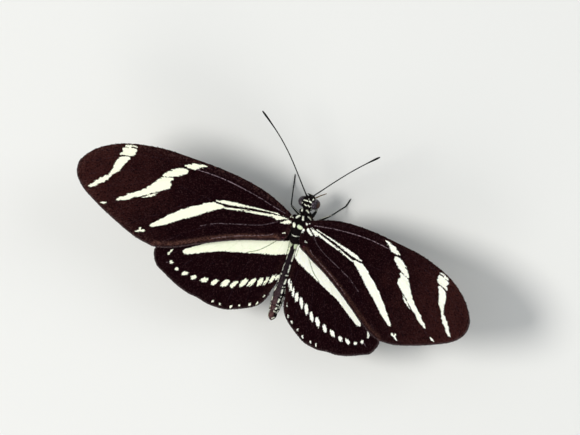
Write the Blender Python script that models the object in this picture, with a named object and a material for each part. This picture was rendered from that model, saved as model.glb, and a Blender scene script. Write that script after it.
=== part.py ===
"""Zebra longwing butterfly, a still model at life size, standing on four feet with its wings spread flat.

Sizes are in millimetres, in the insect's own frame: x to its right, y forward from the front of its
head, z up from the line on which the forewings hinge. set_down() turns them into metres over the floor.
A wing is drawn in its own plane: u runs out from the middle of the body, and v runs back.
"""

import math

import bmesh
import bpy
from mathutils import Matrix, Vector
from mathutils.geometry import delaunay_2d_cdt

MILLIMETRE = 0.001
GAP = 0.3

# Where the insect stands, and how it holds itself
HINGE_HEIGHT = 8.0
FRONT_OF_HEAD = 7.57
WING_RISE = math.radians(13.0)
HINDWING_BELOW_FOREWING = 1.1
HEAD_TURN = math.radians(6.0)

# Wings
MEMBRANE = 0.5
VEIN_WIDTH = 0.75
VEIN_HEIGHT_AT_ROOT = 0.13
VEIN_HEIGHT_AT_EDGE = 0.06
WINGSPAN_HALF = 46.3
ARCH = 0.3
ARCH_MIDDLE = 9.0
ARCH_LENGTH = 32.0

# Head
HEAD_CENTRE = Vector((0.05, -2.15, -1.5))
HEAD_RADII = (1.5, 1.6, 1.55)
HEAD_HALF_WIDTH = 0.85
HEAD_BACK = 1.45
EYE_RADII = (1.15, 1.12, 1.32)
EYE_FLAT = HEAD_HALF_WIDTH + GAP
PALP_RADIUS_AT_BASE = 0.30
PALP_RADIUS_AT_TIP = 0.15
TONGUE_RADIUS_AT_BASE = 0.26
TONGUE_RADIUS_AT_TIP = 0.18

# Trunk
AXIS_HEIGHT = -1.45
NECK = -3.9
WAIST = -11.15
TAIL_TIP = -27.1
ABDOMEN_DEPTH = 1.12

# Limbs and feelers
FEELER_RADIUS = 0.26
CLUB_RADIUS = 0.38
CLUB_MIDDLE = 0.93
CLUB_REACH = 0.12
FEELER_TIP_RADIUS = 0.15
SHANK_RADIUS = 0.27
CLAW_RADIUS = 0.19
SOLE_CUT = 0.08

BLACK_BROWN = (0.020, 0.010, 0.009)


def set_down(point):
    """A point of the insect's own frame, in metres over the floor."""
    x, y, z = point
    return Vector((x, y + FRONT_OF_HEAD, z + HINGE_HEIGHT)) * MILLIMETRE


def finish(name, colour, roughness, metallic=0.0):
    material = bpy.data.materials.new(name)
    material.use_nodes = True
    shader = material.node_tree.nodes["Principled BSDF"]
    shader.inputs["Base Color"].default_value = (*colour, 1.0)
    shader.inputs["Roughness"].default_value = roughness
    shader.inputs["Metallic"].default_value = metallic
    return material


def make_object(name, shape, material):
    """Makes one node of a finished shape, with outward faces, smooth shading and its own material."""
    bmesh.ops.recalc_face_normals(shape, faces=shape.faces)
    mesh = bpy.data.meshes.new(name)
    shape.to_mesh(mesh)
    shape.free()
    mesh.materials.append(material)
    mesh.shade_smooth()
    mesh.set_sharp_from_angle(angle=math.radians(40.0))
    thing = bpy.data.objects.new(name, mesh)
    bpy.context.scene.collection.objects.link(thing)
    return thing


def curve_through(points, steps, closed=False):
    """A smooth Catmull-Rom curve through the points, with this many steps between two of them."""
    points = [Vector(point) for point in points]
    count = len(points)
    spans = count if closed else count - 1
    curve = []
    for i in range(spans):
        before = points[(i - 1) % count] if closed or i else points[0] * 2.0 - points[1]
        start = points[i]
        end = points[(i + 1) % count]
        if closed or i + 2 < count:
            after = points[(i + 2) % count]
        else:
            after = end * 2.0 - start
        for step in range(steps):
            t = step / steps
            curve.append(
                0.5
                * (
                    2.0 * start
                    + (end - before) * t
                    + (2.0 * before - 5.0 * start + 4.0 * end - after) * t**2
                    + (3.0 * start - before - 3.0 * end + after) * t**3
                )
            )
    if not closed:
        curve.append(points[-1])
    return curve


def bridge_rings(shape, rings):
    """Walls between rings of points, and a cap at both ends."""
    loops = []
    for ring in rings:
        corners = [shape.verts.new(point) for point in ring]
        loops.append(corners)
    sides = len(loops[0])
    for first, second in zip(loops, loops[1:]):
        for i in range(sides):
            j = (i + 1) % sides
            shape.faces.new((first[i], first[j], second[j], second[i]))
    for end in (loops[0], loops[-1]):
        middle = shape.verts.new(sum((corner.co for corner in end), Vector()) / sides)
        for i in range(sides):
            shape.faces.new((end[i], end[(i + 1) % sides], middle))


def cut_flat(shape, point, normal):
    """Takes off what lies past a plane, and fills the cut."""
    everything = shape.verts[:] + shape.edges[:] + shape.faces[:]
    bmesh.ops.bisect_plane(
        shape,
        geom=everything,
        dist=1e-9,
        plane_co=point,
        plane_no=normal,
        clear_outer=True,
    )
    open_edges = [edge for edge in shape.edges if edge.is_boundary]
    bmesh.ops.holes_fill(shape, edges=open_edges)


def trunk_ring(y, half_width, half_height, height, sides, swell=None):
    """One upright ring of the thorax or the abdomen, with local swellings of its surface."""
    ring = []
    for i in range(sides):
        angle = 2.0 * math.pi * i / sides
        out = Vector((math.cos(angle), 0.0, math.sin(angle)))
        point = Vector((half_width * out.x, y, height + half_height * out.z))
        if swell:
            point += out * swell(point)
        ring.append(set_down(point))
    return ring


def tube_rings(path, radii, sides):
    """Rings square to a path, turned along with it so that the tube doesn't twist."""
    rings = []
    across = None
    for i, point in enumerate(path):
        before = path[max(i - 1, 0)]
        after = path[min(i + 1, len(path) - 1)]
        along = (after - before).normalized()
        if across is None:
            across = along.orthogonal()
        across = (across - along * across.dot(along)).normalized()
        other = along.cross(across)
        ring = []
        for j in range(sides):
            angle = 2.0 * math.pi * j / sides
            offset = across * math.cos(angle) + other * math.sin(angle)
            ring.append(set_down(point + offset * radii[i]))
        rings.append(ring)
    return rings


def turned(point):
    """A point of the head, turned with the head on its neck."""
    turn = Matrix.Rotation(HEAD_TURN, 3, "Z")
    return HEAD_CENTRE + turn @ Vector(point)


def ball(shape, radii, centre, segments, rings):
    """A squashed ball in the head's own frame, set down in its place."""
    ball_matrix = Matrix.Diagonal((*radii, 1.0))
    made = bmesh.ops.create_uvsphere(
        shape,
        u_segments=segments,
        v_segments=rings,
        radius=1.0,
        matrix=ball_matrix,
    )
    for corner in made["verts"]:
        corner.co = set_down(turned(corner.co + Vector(centre)))


def head():
    shape = bmesh.new()
    ball(shape, HEAD_RADII, (0.0, 0.0, 0.0), 20, 12)
    turn = Matrix.Rotation(HEAD_TURN, 3, "Z")
    for place, outward in (
        ((HEAD_HALF_WIDTH, 0.0, 0.0), (1.0, 0.0, 0.0)),
        ((-HEAD_HALF_WIDTH, 0.0, 0.0), (-1.0, 0.0, 0.0)),
        ((0.0, -HEAD_BACK, 0.0), (0.0, -1.0, 0.0)),
    ):
        cut_flat(shape, set_down(turned(place)), turn @ Vector(outward))
    make_object("head", shape, finish("head_scales", BLACK_BROWN, 0.7))


def eye(name, side):
    """A bulging compound eye, flat where it sits against the side of the head."""
    shape = bmesh.new()
    ball(shape, EYE_RADII, (side * EYE_FLAT, 0.0, 0.0), 16, 10)
    inward = Matrix.Rotation(HEAD_TURN, 3, "Z") @ Vector((-side, 0.0, 0.0))
    cut_flat(shape, set_down(turned((side * EYE_FLAT, 0.0, 0.0))), inward)
    make_object(name, shape, finish(name + "_cornea", (0.050, 0.026, 0.024), 0.22))


def feeler(name, base, tip, bow):
    """An antenna: a thin shaft that bows forward and thickens into a slim club."""
    base = Vector(base)
    tip = Vector(tip)
    count = 20
    path = []
    radii = []
    for i in range(count + 1):
        t = i / count
        path.append(base.lerp(tip, t) + Vector(bow) * math.sin(math.pi * t**1.2))
        club = max(0.0, 1.0 - abs(t - CLUB_MIDDLE) / CLUB_REACH)
        radii.append(FEELER_RADIUS + (CLUB_RADIUS - FEELER_RADIUS) * math.sqrt(club))
    radii[-1] = FEELER_TIP_RADIUS
    shape = bmesh.new()
    bridge_rings(shape, tube_rings(path, radii, 8))
    make_object(name, shape, finish(name + "_shaft", BLACK_BROWN, 0.5))


def palp(name, side):
    """A labial palp, which curls up in front of the face."""
    path = curve_through([turned((side * x, y, z)) for x, y, z in PALP_PATH], 3)
    taper = PALP_RADIUS_AT_BASE - PALP_RADIUS_AT_TIP
    radii = [PALP_RADIUS_AT_BASE - taper * (i / (len(path) - 1)) ** 2 for i in range(len(path))]
    shape = bmesh.new()
    bridge_rings(shape, tube_rings(path, radii, 8))
    make_object(name, shape, finish(name + "_scales", BLACK_BROWN, 0.8))


def proboscis():
    """The uncoiled tongue, which reaches down beside the feet and stops short of the floor."""
    path = curve_through(PROBOSCIS_PATH, 4)
    taper = TONGUE_RADIUS_AT_BASE - TONGUE_RADIUS_AT_TIP
    radii = [TONGUE_RADIUS_AT_BASE - taper * i / (len(path) - 1) for i in range(len(path))]
    shape = bmesh.new()
    bridge_rings(shape, tube_rings(path, radii, 8))
    make_object("proboscis", shape, finish("proboscis_skin", (0.16, 0.09, 0.03), 0.45))


def thorax_swell(point):
    """Shoulder flaps in front of the wings, and the scutellum behind them."""
    swell = 0.0
    for x, y, z, reach, height in THORAX_SWELLINGS:
        distance = (point - Vector((x, y, z))).length / reach
        swell += height * max(0.0, 1.0 - distance**2) ** 2
    return swell


def thorax():
    shape = bmesh.new()
    rings = [trunk_ring(*ring, AXIS_HEIGHT, 20, thorax_swell) for ring in THORAX_RINGS]
    bridge_rings(shape, rings)
    make_object("thorax", shape, finish("thorax_scales", BLACK_BROWN, 0.8))


def abdomen():
    """Bulging segments in a row, drawn in at each joint, and a blunt tip."""
    shape = bmesh.new()
    rings = []
    for start, end in zip(SEGMENT_JOINTS, SEGMENT_JOINTS[1:]):
        for t, bulge in SEGMENT_BULGE:
            y = start + (end - start) * t
            width = abdomen_width(y) * bulge
            rings.append(trunk_ring(y, width, width * ABDOMEN_DEPTH, AXIS_HEIGHT, 16))
    last = abdomen_width(TAIL_TIP)
    rings.append(trunk_ring(TAIL_TIP, last, last, AXIS_HEIGHT, 16))
    bridge_rings(shape, rings)
    make_object("abdomen", shape, finish("abdomen_scales", (0.05, 0.035, 0.035), 0.75))


def abdomen_width(y):
    """Half the width of the abdomen: slim behind the waist, widest in its last third."""
    for (y0, width0), (y1, width1) in zip(ABDOMEN_WIDTHS, ABDOMEN_WIDTHS[1:]):
        if y >= y1:
            t = (y - y0) / (y1 - y0)
            t = t * t * (3.0 - 2.0 * t)
            return width0 + (width1 - width0) * t
    return ABDOMEN_WIDTHS[-1][1]


def leg(name, side, joints, radii, stands):
    """One leg, from its hip to its claws, with a flat sole under its foot if it stands."""
    joints = [Vector((side * x, y, z)) for x, y, z in joints]
    path = [joints[0]]
    thick = [radii[0]]
    for i in range(1, len(joints)):
        for t in (0.12, 0.5, 0.88):
            path.append(joints[i - 1].lerp(joints[i], t))
            thick.append(radii[i - 1])
    path.append(joints[-1])
    thick.append(CLAW_RADIUS)
    shape = bmesh.new()
    bridge_rings(shape, tube_rings(path, thick, 8))
    if stands:
        cut_flat(shape, Vector((0.0, 0.0, 0.0)), Vector((0.0, 0.0, -1.0)))
    make_object(name, shape, finish(name + "_cuticle", (0.035, 0.022, 0.018), 0.5))


def wing_point(side, u, v, above, below_forewing):
    """A point of a wing: its plane rises away from the body, with a slight arch along and across."""
    across = math.cos(math.pi * (v - ARCH_MIDDLE) / ARCH_LENGTH)
    arch = ARCH * (across - (u / WINGSPAN_HALF) ** 2)
    above += arch
    x = u * math.cos(WING_RISE) - above * math.sin(WING_RISE)
    z = u * math.sin(WING_RISE) + above * math.cos(WING_RISE) - below_forewing
    return set_down((side * x, -v, z))


def distance_to(point, start, end):
    along = end - start
    t = max(0.0, min(1.0, (point - start).dot(along) / along.length_squared))
    return (point - start - along * t).length


def wing(name, side, outline, veins, below_forewing):
    """A flat plate with the outline of the wing, thickened along its veins in one surface.

    Both faces have the same triangles: those of a net laid through the outline, the crest of each
    vein and the feet on both sides of the crest.
    """
    points = curve_through(outline, 3, closed=True)
    rim = len(points)
    edges = [(i, (i + 1) % rim) for i in range(rim)]
    spans = []
    for vein in veins:
        crest = curve_through(vein, 2)
        for start, end in zip(crest, crest[1:]):
            spans.append((start, end))
        for offset in (0.0, -VEIN_WIDTH / 2.0, VEIN_WIDTH / 2.0):
            first = len(points)
            kept = crest if offset == 0.0 else crest[1:-1]
            for i, point in enumerate(kept):
                whole = i if offset == 0.0 else i + 1
                before = crest[max(whole - 1, 0)]
                after = crest[min(whole + 1, len(crest) - 1)]
                along = (after - before).normalized()
                points.append(point + Vector((-along.y, along.x)) * offset)
            edges += [(i, i + 1) for i in range(first, len(points) - 1)]
    net = delaunay_2d_cdt(points, edges, [], 1, 1e-4)
    corners, triangles = net[0], net[2]

    shape = bmesh.new()
    faces_of_plate = []
    for direction in (1.0, -1.0):
        made = []
        for corner in corners:
            nearest = min(distance_to(corner, start, end) for start, end in spans)
            ridge = max(0.0, 1.0 - nearest / (VEIN_WIDTH / 2.0))
            taper = (VEIN_HEIGHT_AT_ROOT - VEIN_HEIGHT_AT_EDGE) * corner.x / WINGSPAN_HALF
            tall = VEIN_HEIGHT_AT_ROOT - taper
            above = direction * (MEMBRANE / 2.0 + tall * ridge)
            place = wing_point(side, corner.x, corner.y, above, below_forewing)
            made.append(shape.verts.new(place))
        faces_of_plate.append(made)
        for triangle in triangles:
            shape.faces.new([made[i] for i in triangle])
    top, bottom = faces_of_plate
    directed = []
    for triangle in triangles:
        directed += zip(triangle, triangle[1:] + triangle[:1])
    both_ways = set(directed)
    for a, b in directed:
        if (b, a) not in both_ways:
            shape.faces.new((top[b], top[a], bottom[a], bottom[b]))
    make_object(name, shape, finish(name + "_scales", BLACK_BROWN, 0.7))


# Head parts, from the middle of the head: out, forward, up
ANTENNA_BASE = (0.78, 1.62, 0.72)
ANTENNA_TIP_LEFT = (-13.5, 12.75, 4.0)
ANTENNA_TIP_RIGHT = (13.55, 13.15, 4.0)
ANTENNA_BOW_LEFT = (0.75, 0.5, 0.0)
ANTENNA_BOW_RIGHT = (-0.2, 0.3, 0.0)
PALP_PATH = ((0.36, 1.55, -1.35), (0.42, 2.02, -0.75), (0.44, 2.12, 0.1), (0.42, 2.0, 0.85))
PROBOSCIS_PATH = (
    (0.15, -1.15, -3.15),
    (0.36, -1.0, -3.9),
    (0.66, -0.57, -4.8),
    (0.95, -0.3, -5.5),
    (1.11, -0.08, -6.2),
)

# Rings of the thorax: y, half width, half height
THORAX_RINGS = (
    (NECK, 0.72, 0.75),
    (-4.15, 1.05, 1.1),
    (-4.7, 1.32, 1.45),
    (-5.3, 1.6, 1.85),
    (-6.0, 1.9, 2.25),
    (-6.8, 2.07, 2.45),
    (-7.7, 2.12, 2.5),
    (-8.6, 2.02, 2.4),
    (-9.4, 1.78, 2.15),
    (-10.1, 1.45, 1.8),
    (-10.7, 1.1, 1.35),
    (WAIST, 0.75, 0.85),
)

# Swellings of the thorax: x, y, z, reach, height
THORAX_SWELLINGS = (
    (1.35, -5.35, 0.1, 1.0, 0.3),
    (-1.35, -5.35, 0.1, 1.0, 0.3),
    (0.0, -9.75, 0.45, 1.1, 0.35),
    (0.0, -4.55, 0.05, 0.9, 0.2),
)

# Abdomen: joints between segments, the bulge of one segment, and half widths along its length
SEGMENT_JOINTS = (WAIST - GAP, -12.6, -15.0, -17.6, -20.2, -22.1, -24.0, -25.3, TAIL_TIP + 0.25)
SEGMENT_BULGE = ((0.0, 0.93), (0.2, 1.0), (0.75, 1.02))
ABDOMEN_WIDTHS = (
    (WAIST - GAP, 0.72),
    (-13.0, 0.8),
    (-17.0, 0.95),
    (-21.5, 1.2),
    (-24.0, 1.18),
    (-26.0, 0.9),
    (TAIL_TIP, 0.5),
)

# Legs, from hip to claws, with the same side's x always positive
SOLE = SHANK_RADIUS - SOLE_CUT - HINGE_HEIGHT
FORELEG = ((0.85, -5.15, -3.2), (1.45, -3.6, -3.2), (0.85, -2.7, -3.85), (0.7, -2.3, -4.5))
MIDLEG_LEFT = (
    (1.05, -6.7, -4.1),
    (1.5, -6.1, -4.6),
    (4.45, -4.55, -4.0),
    (6.75, -1.3, SOLE + 0.15),
    (6.95, -0.6, SOLE),
    (7.22, 0.65, SOLE),
)
MIDLEG_RIGHT = (
    (1.05, -6.5, -4.1),
    (1.5, -5.9, -4.6),
    (4.45, -3.35, -4.0),
    (5.3, -1.35, SOLE + 0.15),
    (5.45, -0.75, SOLE),
    (5.75, 0.35, SOLE),
)
HINDLEG = (
    (1.0, -9.2, -3.85),
    (1.35, -9.6, -4.4),
    (4.3, -11.7, -3.7),
    (6.35, -15.8, SOLE + 0.15),
    (6.6, -16.6, SOLE),
    (7.1, -18.5, SOLE),
)
LEG_RADII = (0.34, 0.36, 0.32, 0.28, SHANK_RADIUS, SHANK_RADIUS)

# Forewing: its outline from the shoulder along the costa, round the tip and back along the inner
# edge, and its veins from the root outward
FOREWING = (
    (2.05, 5.5),
    (3.0, 4.75),
    (7.1, 3.05),
    (11.5, 2.0),
    (17.0, 1.4),
    (23.5, 1.3),
    (30.0, 1.45),
    (35.0, 2.2),
    (39.5, 3.55),
    (43.2, 5.65),
    (45.5, 8.2),
    (46.15, 10.4),
    (45.6, 12.5),
    (43.6, 14.5),
    (40.2, 16.4),
    (35.5, 18.5),
    (31.0, 20.15),
    (28.2, 20.65),
    (26.3, 20.75),
    (23.0, 19.75),
    (18.3, 17.3),
    (14.4, 15.3),
    (10.0, 13.38),
    (6.0, 12.0),
    (3.6, 11.15),
    (2.5, 10.5),
    (2.1, 9.0),
)
RADIUS_FORK = (27.8, 3.3)
CELL_END_UPPER = (24.7, 4.3)
CELL_END_MIDDLE = (25.2, 5.9)
CELL_END_LOWER = (24.9, 7.6)
FOREWING_VEINS = (
    ((2.6, 5.6), (8.0, 3.55), (15.0, 2.25), (21.5, 1.95)),
    (
        (2.8, 6.0),
        (5.0, 5.2),
        (9.4, 4.0),
        (16.5, 3.25),
        (22.3, 3.05),
        RADIUS_FORK,
        (32.0, 3.75),
        (36.8, 4.9),
        (45.0, 9.4),
    ),
    ((18.0, 3.15), (22.5, 2.5), (28.0, 2.0)),
    (RADIUS_FORK, (31.5, 2.85), (35.0, 2.9)),
    ((36.8, 4.9), (40.5, 5.1), (42.8, 6.2)),
    ((3.0, 6.6), (8.7, 7.25), (12.4, 7.75), (15.35, 8.3), (19.8, 7.9), CELL_END_LOWER),
    ((24.2, 3.1), CELL_END_UPPER, CELL_END_MIDDLE, CELL_END_LOWER),
    (CELL_END_UPPER, (33.0, 6.7), (40.0, 9.6), (44.9, 12.2)),
    (CELL_END_MIDDLE, (33.0, 9.6), (42.9, 14.3)),
    (CELL_END_LOWER, (31.0, 11.4), (38.9, 16.4)),
    ((19.8, 7.9), (24.2, 11.5), (29.5, 15.8), (33.4, 18.6)),
    ((15.35, 8.3), (18.7, 10.8), (23.9, 14.4), (29.4, 19.5)),
    ((3.0, 7.2), (6.5, 8.9), (10.5, 10.4), (14.6, 12.0), (18.5, 14.0), (25.8, 19.9)),
)

# Hindwing, drawn the same way in its own plane
HINDWING = (
    (2.35, 8.9),
    (4.5, 8.5),
    (9.0, 9.3),
    (15.0, 12.0),
    (20.5, 15.6),
    (24.8, 18.8),
    (26.3, 21.0),
    (26.3, 22.6),
    (25.2, 24.4),
    (23.3, 25.4),
    (20.3, 26.8),
    (17.7, 27.6),
    (15.4, 27.85),
    (13.0, 28.35),
    (10.6, 28.35),
    (8.5, 27.9),
    (5.5, 26.5),
    (3.6, 25.3),
    (2.45, 23.7),
    (1.7, 21.5),
    (1.45, 18.5),
    (1.38, 14.5),
    (1.45, 11.9),
    (2.0, 10.4),
)
HIND_CELL_UPPER = (10.4, 12.2)
HIND_CELL_MIDDLE = (10.6, 13.8)
HIND_CELL_LOWER = (9.6, 15.5)
HINDWING_VEINS = (
    ((2.9, 9.3), (7.0, 9.6), (14.0, 12.3), (20.0, 16.3), (25.2, 20.4)),
    ((2.9, 9.7), (6.5, 10.6), HIND_CELL_UPPER, (16.5, 16.0), (25.1, 22.9)),
    (HIND_CELL_UPPER, HIND_CELL_MIDDLE, HIND_CELL_LOWER),
    (HIND_CELL_UPPER, (16.0, 17.9), (22.0, 25.1)),
    (HIND_CELL_MIDDLE, (14.2, 19.6), (17.9, 26.9)),
    ((2.6, 10.2), (3.85, 11.65), (4.95, 13.1), (7.0, 14.8), HIND_CELL_LOWER, (12.0, 21.0), (13.1, 27.6)),
    ((7.0, 14.8), (8.6, 20.8), (9.4, 27.3)),
    ((4.95, 13.1), (5.3, 19.5), (5.8, 25.8)),
    ((2.3, 11.1), (2.9, 15.5), (3.1, 20.0), (3.4, 24.3)),
)


for old in list(bpy.data.objects):
    bpy.data.objects.remove(old, do_unlink=True)

head()
thorax()
abdomen()
proboscis()
for word, sign, antenna_tip, antenna_bow, midleg in (
    ("left", -1, ANTENNA_TIP_LEFT, ANTENNA_BOW_LEFT, MIDLEG_LEFT),
    ("right", 1, ANTENNA_TIP_RIGHT, ANTENNA_BOW_RIGHT, MIDLEG_RIGHT),
):
    eye("eye_" + word, sign)
    palp("palp_" + word, sign)
    antenna_base = turned((sign * ANTENNA_BASE[0], ANTENNA_BASE[1], ANTENNA_BASE[2]))
    feeler("antenna_" + word, antenna_base, antenna_tip, antenna_bow)
    leg("foreleg_" + word, sign, FORELEG, LEG_RADII, False)
    leg("midleg_" + word, sign, midleg, LEG_RADII, True)
    leg("hindleg_" + word, sign, HINDLEG, LEG_RADII, True)
    wing("forewing_" + word, sign, FOREWING, FOREWING_VEINS, 0.0)
    wing("hindwing_" + word, sign, HINDWING, HINDWING_VEINS, HINDWING_BELOW_FOREWING)
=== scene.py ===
import math
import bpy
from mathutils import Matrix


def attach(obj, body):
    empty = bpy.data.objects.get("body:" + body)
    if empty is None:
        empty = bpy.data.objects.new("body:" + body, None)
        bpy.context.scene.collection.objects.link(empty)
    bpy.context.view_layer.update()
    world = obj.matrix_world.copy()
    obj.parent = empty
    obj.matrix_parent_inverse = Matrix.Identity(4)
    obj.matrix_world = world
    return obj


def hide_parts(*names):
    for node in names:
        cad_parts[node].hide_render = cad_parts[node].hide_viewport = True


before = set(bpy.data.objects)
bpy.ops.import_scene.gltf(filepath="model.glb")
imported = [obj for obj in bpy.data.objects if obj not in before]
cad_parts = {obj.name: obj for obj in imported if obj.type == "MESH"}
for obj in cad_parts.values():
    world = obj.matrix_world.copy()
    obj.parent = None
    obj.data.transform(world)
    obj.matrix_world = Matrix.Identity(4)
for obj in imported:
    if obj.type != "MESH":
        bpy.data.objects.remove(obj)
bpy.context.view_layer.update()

from types import SimpleNamespace

import bpy
import numpy as np
from mathutils import Matrix, Vector
from mathutils.bvhtree import BVHTree
from mathutils.geometry import delaunay_2d_cdt

# Floor, light and camera. The floor is a plain pale sheet, and three broad soft lamps hang round
# the insect. The camera looks down on it over its right shoulder, through a long lens.
MILLIMETRE = 0.001
HINGE_HEIGHT = 8.0
FRONT_OF_HEAD = 7.57
CAMERA_TURN = (math.radians(11.40), math.radians(-21.45), math.radians(18.12))
CAMERA_DISTANCE = 3.0
VIEW_WIDTH = 116.0
VIEW_CENTRE = (-3.866, -4.86)
SENSOR = 36.0
NEAREST_SEEN = 0.01
FARTHEST_SEEN = 50.0
FLOOR_SIZE = 14.0
FLOOR_COLOUR = (0.74, 0.74, 0.72, 1.0)
FLOOR_ROUGHNESS = 0.75
FLOOR_GLOSS = 0.25
SKY_COLOUR = (0.9, 0.95, 1.0, 1.0)
SKY_STRENGTH = 0.42
# place in metres, size in metres, watts, colour
LAMPS = (
    ((-0.50, -0.12, 1.00), 0.55, 8.3, (1.0, 0.98, 0.94)),
    ((0.75, 0.65, 0.60), 0.60, 3.6, (0.94, 0.97, 1.0)),
    ((0.15, -0.85, 0.55), 0.70, 2.6, (1.0, 0.97, 0.93)),
)


def set_down(points):
    """Points of the insect's own frame in millimetres, in metres over the floor."""
    return (np.asarray(points, float) + (0.0, FRONT_OF_HEAD, HINGE_HEIGHT)) * MILLIMETRE


bpy.ops.object.select_all(action="DESELECT")
bpy.ops.mesh.primitive_plane_add(size=FLOOR_SIZE, location=(0.0, 0.0, 0.0))
floor = bpy.context.object
floor.name = "floor"
paint = bpy.data.materials.new("floor_sheet")
paint.use_nodes = True
shader = paint.node_tree.nodes["Principled BSDF"]
shader.inputs["Base Color"].default_value = FLOOR_COLOUR
shader.inputs["Roughness"].default_value = FLOOR_ROUGHNESS
shader.inputs["Specular IOR Level"].default_value = FLOOR_GLOSS
floor.data.materials.append(paint)

world = bpy.data.worlds.new("studio")
bpy.context.scene.world = world
world.use_nodes = True
background = world.node_tree.nodes["Background"]
background.inputs["Color"].default_value = SKY_COLOUR
background.inputs["Strength"].default_value = SKY_STRENGTH

for number, (place, size, watts, colour) in enumerate(LAMPS):
    bpy.ops.object.light_add(type="AREA", location=place)
    lamp = bpy.context.object
    lamp.name = f"lamp_{number}"
    lamp.data.shape = "DISK"
    lamp.data.size = size
    lamp.data.energy = watts
    lamp.data.color = colour
    lamp.rotation_euler = Vector(place).to_track_quat("Z", "Y").to_euler()

tilt = Matrix.Rotation(CAMERA_TURN[0], 3, "X") @ Matrix.Rotation(CAMERA_TURN[1], 3, "Y")
stance = tilt.transposed() @ Matrix.Rotation(CAMERA_TURN[2], 3, "Z")
aim = Vector(set_down(stance.col[0] * VIEW_CENTRE[0] + stance.col[1] * VIEW_CENTRE[1]))
bpy.ops.object.camera_add()
camera = bpy.context.object
camera.name = "camera"
camera.matrix_world = Matrix.Translation(aim + stance.col[2] * CAMERA_DISTANCE) @ stance.to_4x4()
camera.data.sensor_width = SENSOR
camera.data.lens = SENSOR * CAMERA_DISTANCE / (VIEW_WIDTH * MILLIMETRE)
camera.data.clip_start = NEAREST_SEEN
camera.data.clip_end = FARTHEST_SEEN
bpy.context.scene.camera = camera
bpy.context.scene.view_settings.view_transform = "Standard"

# Wing membranes. Each wing is one thin clear-brown film between tubular veins, hinged on the side of
# the thorax, with the forewing lying over the front of the hindwing. A wing is drawn in its own
# plane: u runs out from the middle of the body and v runs back, both in millimetres.
SIDES = (("left", -1.0), ("right", 1.0))
WING_RISE = math.radians(13.0)
HINDWING_DROP = 1.1
WINGSPAN_HALF = 46.3
ARCH = 0.3
ARCH_MIDDLE = 9.0
ARCH_LENGTH = 32.0
INNER_TUCK = 0.38
TUCK_STARTS = 2.6
TUCK_WIDTH = 1.9
FILM_HALF_THICKNESS = 0.05
FILM_TAPER = 0.3
NET_PITCH = 0.24
NET_ROW = 0.866
VEIN_RADIUS_AT_ROOT = 0.17
VEIN_RADIUS_AT_EDGE = 0.065
VEIN_TAPER = 0.6
VEIN_RELIEF = 0.5
VEIN_ROWS = (-0.2, -0.09, 0.0, 0.09, 0.2)
FOLD_DEPTH = 0.045
FOLD_REACH = 1.2
POINTS_AT_ONCE = 4000

FOREWING = (
    (1.3, 5.9), (1.9, 5.35), (3.0, 4.75), (7.1, 3.05), (11.5, 2.0), (17.0, 1.4), (23.5, 1.3), (30.0, 1.45),
    (35.0, 2.2), (39.5, 3.55), (43.2, 5.65), (45.5, 8.2), (46.15, 10.4), (45.6, 12.5), (43.6, 14.5),
    (40.2, 16.4), (35.5, 18.5), (31.0, 20.15), (28.2, 20.65), (26.3, 20.75), (23.0, 19.75), (18.3, 17.3),
    (14.4, 15.3), (10.0, 13.38), (6.0, 12.0), (3.6, 11.15), (2.3, 10.7), (1.5, 9.9), (1.25, 8.6),
    (1.2, 7.2),
)
RADIUS_FORK = (27.8, 3.3)
CELL_END_UPPER = (24.7, 4.3)
CELL_END_MIDDLE = (25.2, 5.9)
CELL_END_LOWER = (24.9, 7.6)
FOREWING_VEINS = (
    ((2.6, 5.6), (8.0, 3.55), (15.0, 2.25), (21.5, 1.95)),
    (
        (2.8, 6.0), (5.0, 5.2), (9.4, 4.0), (16.5, 3.25), (22.3, 3.05), RADIUS_FORK, (32.0, 3.75),
        (36.8, 4.9), (45.0, 9.4),
    ),
    ((18.0, 3.15), (22.5, 2.5), (28.0, 2.0)),
    (RADIUS_FORK, (31.5, 2.85), (35.0, 2.9)),
    ((36.8, 4.9), (40.5, 5.1), (42.8, 6.2)),
    ((3.0, 6.6), (8.7, 7.25), (12.4, 7.75), (15.35, 8.3), (19.8, 7.9), CELL_END_LOWER),
    ((24.2, 3.1), CELL_END_UPPER, CELL_END_MIDDLE, CELL_END_LOWER),
    (CELL_END_UPPER, (33.0, 6.7), (40.0, 9.6), (44.9, 12.2)),
    (CELL_END_MIDDLE, (33.0, 9.6), (42.9, 14.3)),
    (CELL_END_LOWER, (31.0, 11.4), (38.9, 16.4)),
    ((19.8, 7.9), (24.2, 11.5), (29.5, 15.8), (33.4, 18.6)),
    ((15.35, 8.3), (18.7, 10.8), (23.9, 14.4), (29.4, 19.5)),
    ((3.0, 7.2), (6.5, 8.9), (10.5, 10.4), (14.6, 12.0), (18.5, 14.0), (25.8, 19.9)),
)
HINDWING = (
    (1.2, 9.2), (2.4, 8.75), (4.5, 8.5), (9.0, 9.3), (15.0, 12.0), (20.5, 15.6), (24.8, 18.8), (26.3, 21.0),
    (26.3, 22.6), (25.2, 24.4), (23.3, 25.4), (20.3, 26.8), (17.7, 27.6), (15.4, 27.85), (13.0, 28.35),
    (10.6, 28.35), (8.5, 27.9), (5.5, 26.5), (3.6, 25.3), (2.45, 23.7), (1.75, 21.7), (1.25, 20.0),
    (0.98, 18.0), (0.82, 15.0), (0.7, 12.6), (0.85, 11.2), (1.1, 10.2),
)
HIND_CELL_UPPER = (10.4, 12.2)
HIND_CELL_MIDDLE = (10.6, 13.8)
HIND_CELL_LOWER = (9.6, 15.5)
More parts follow.
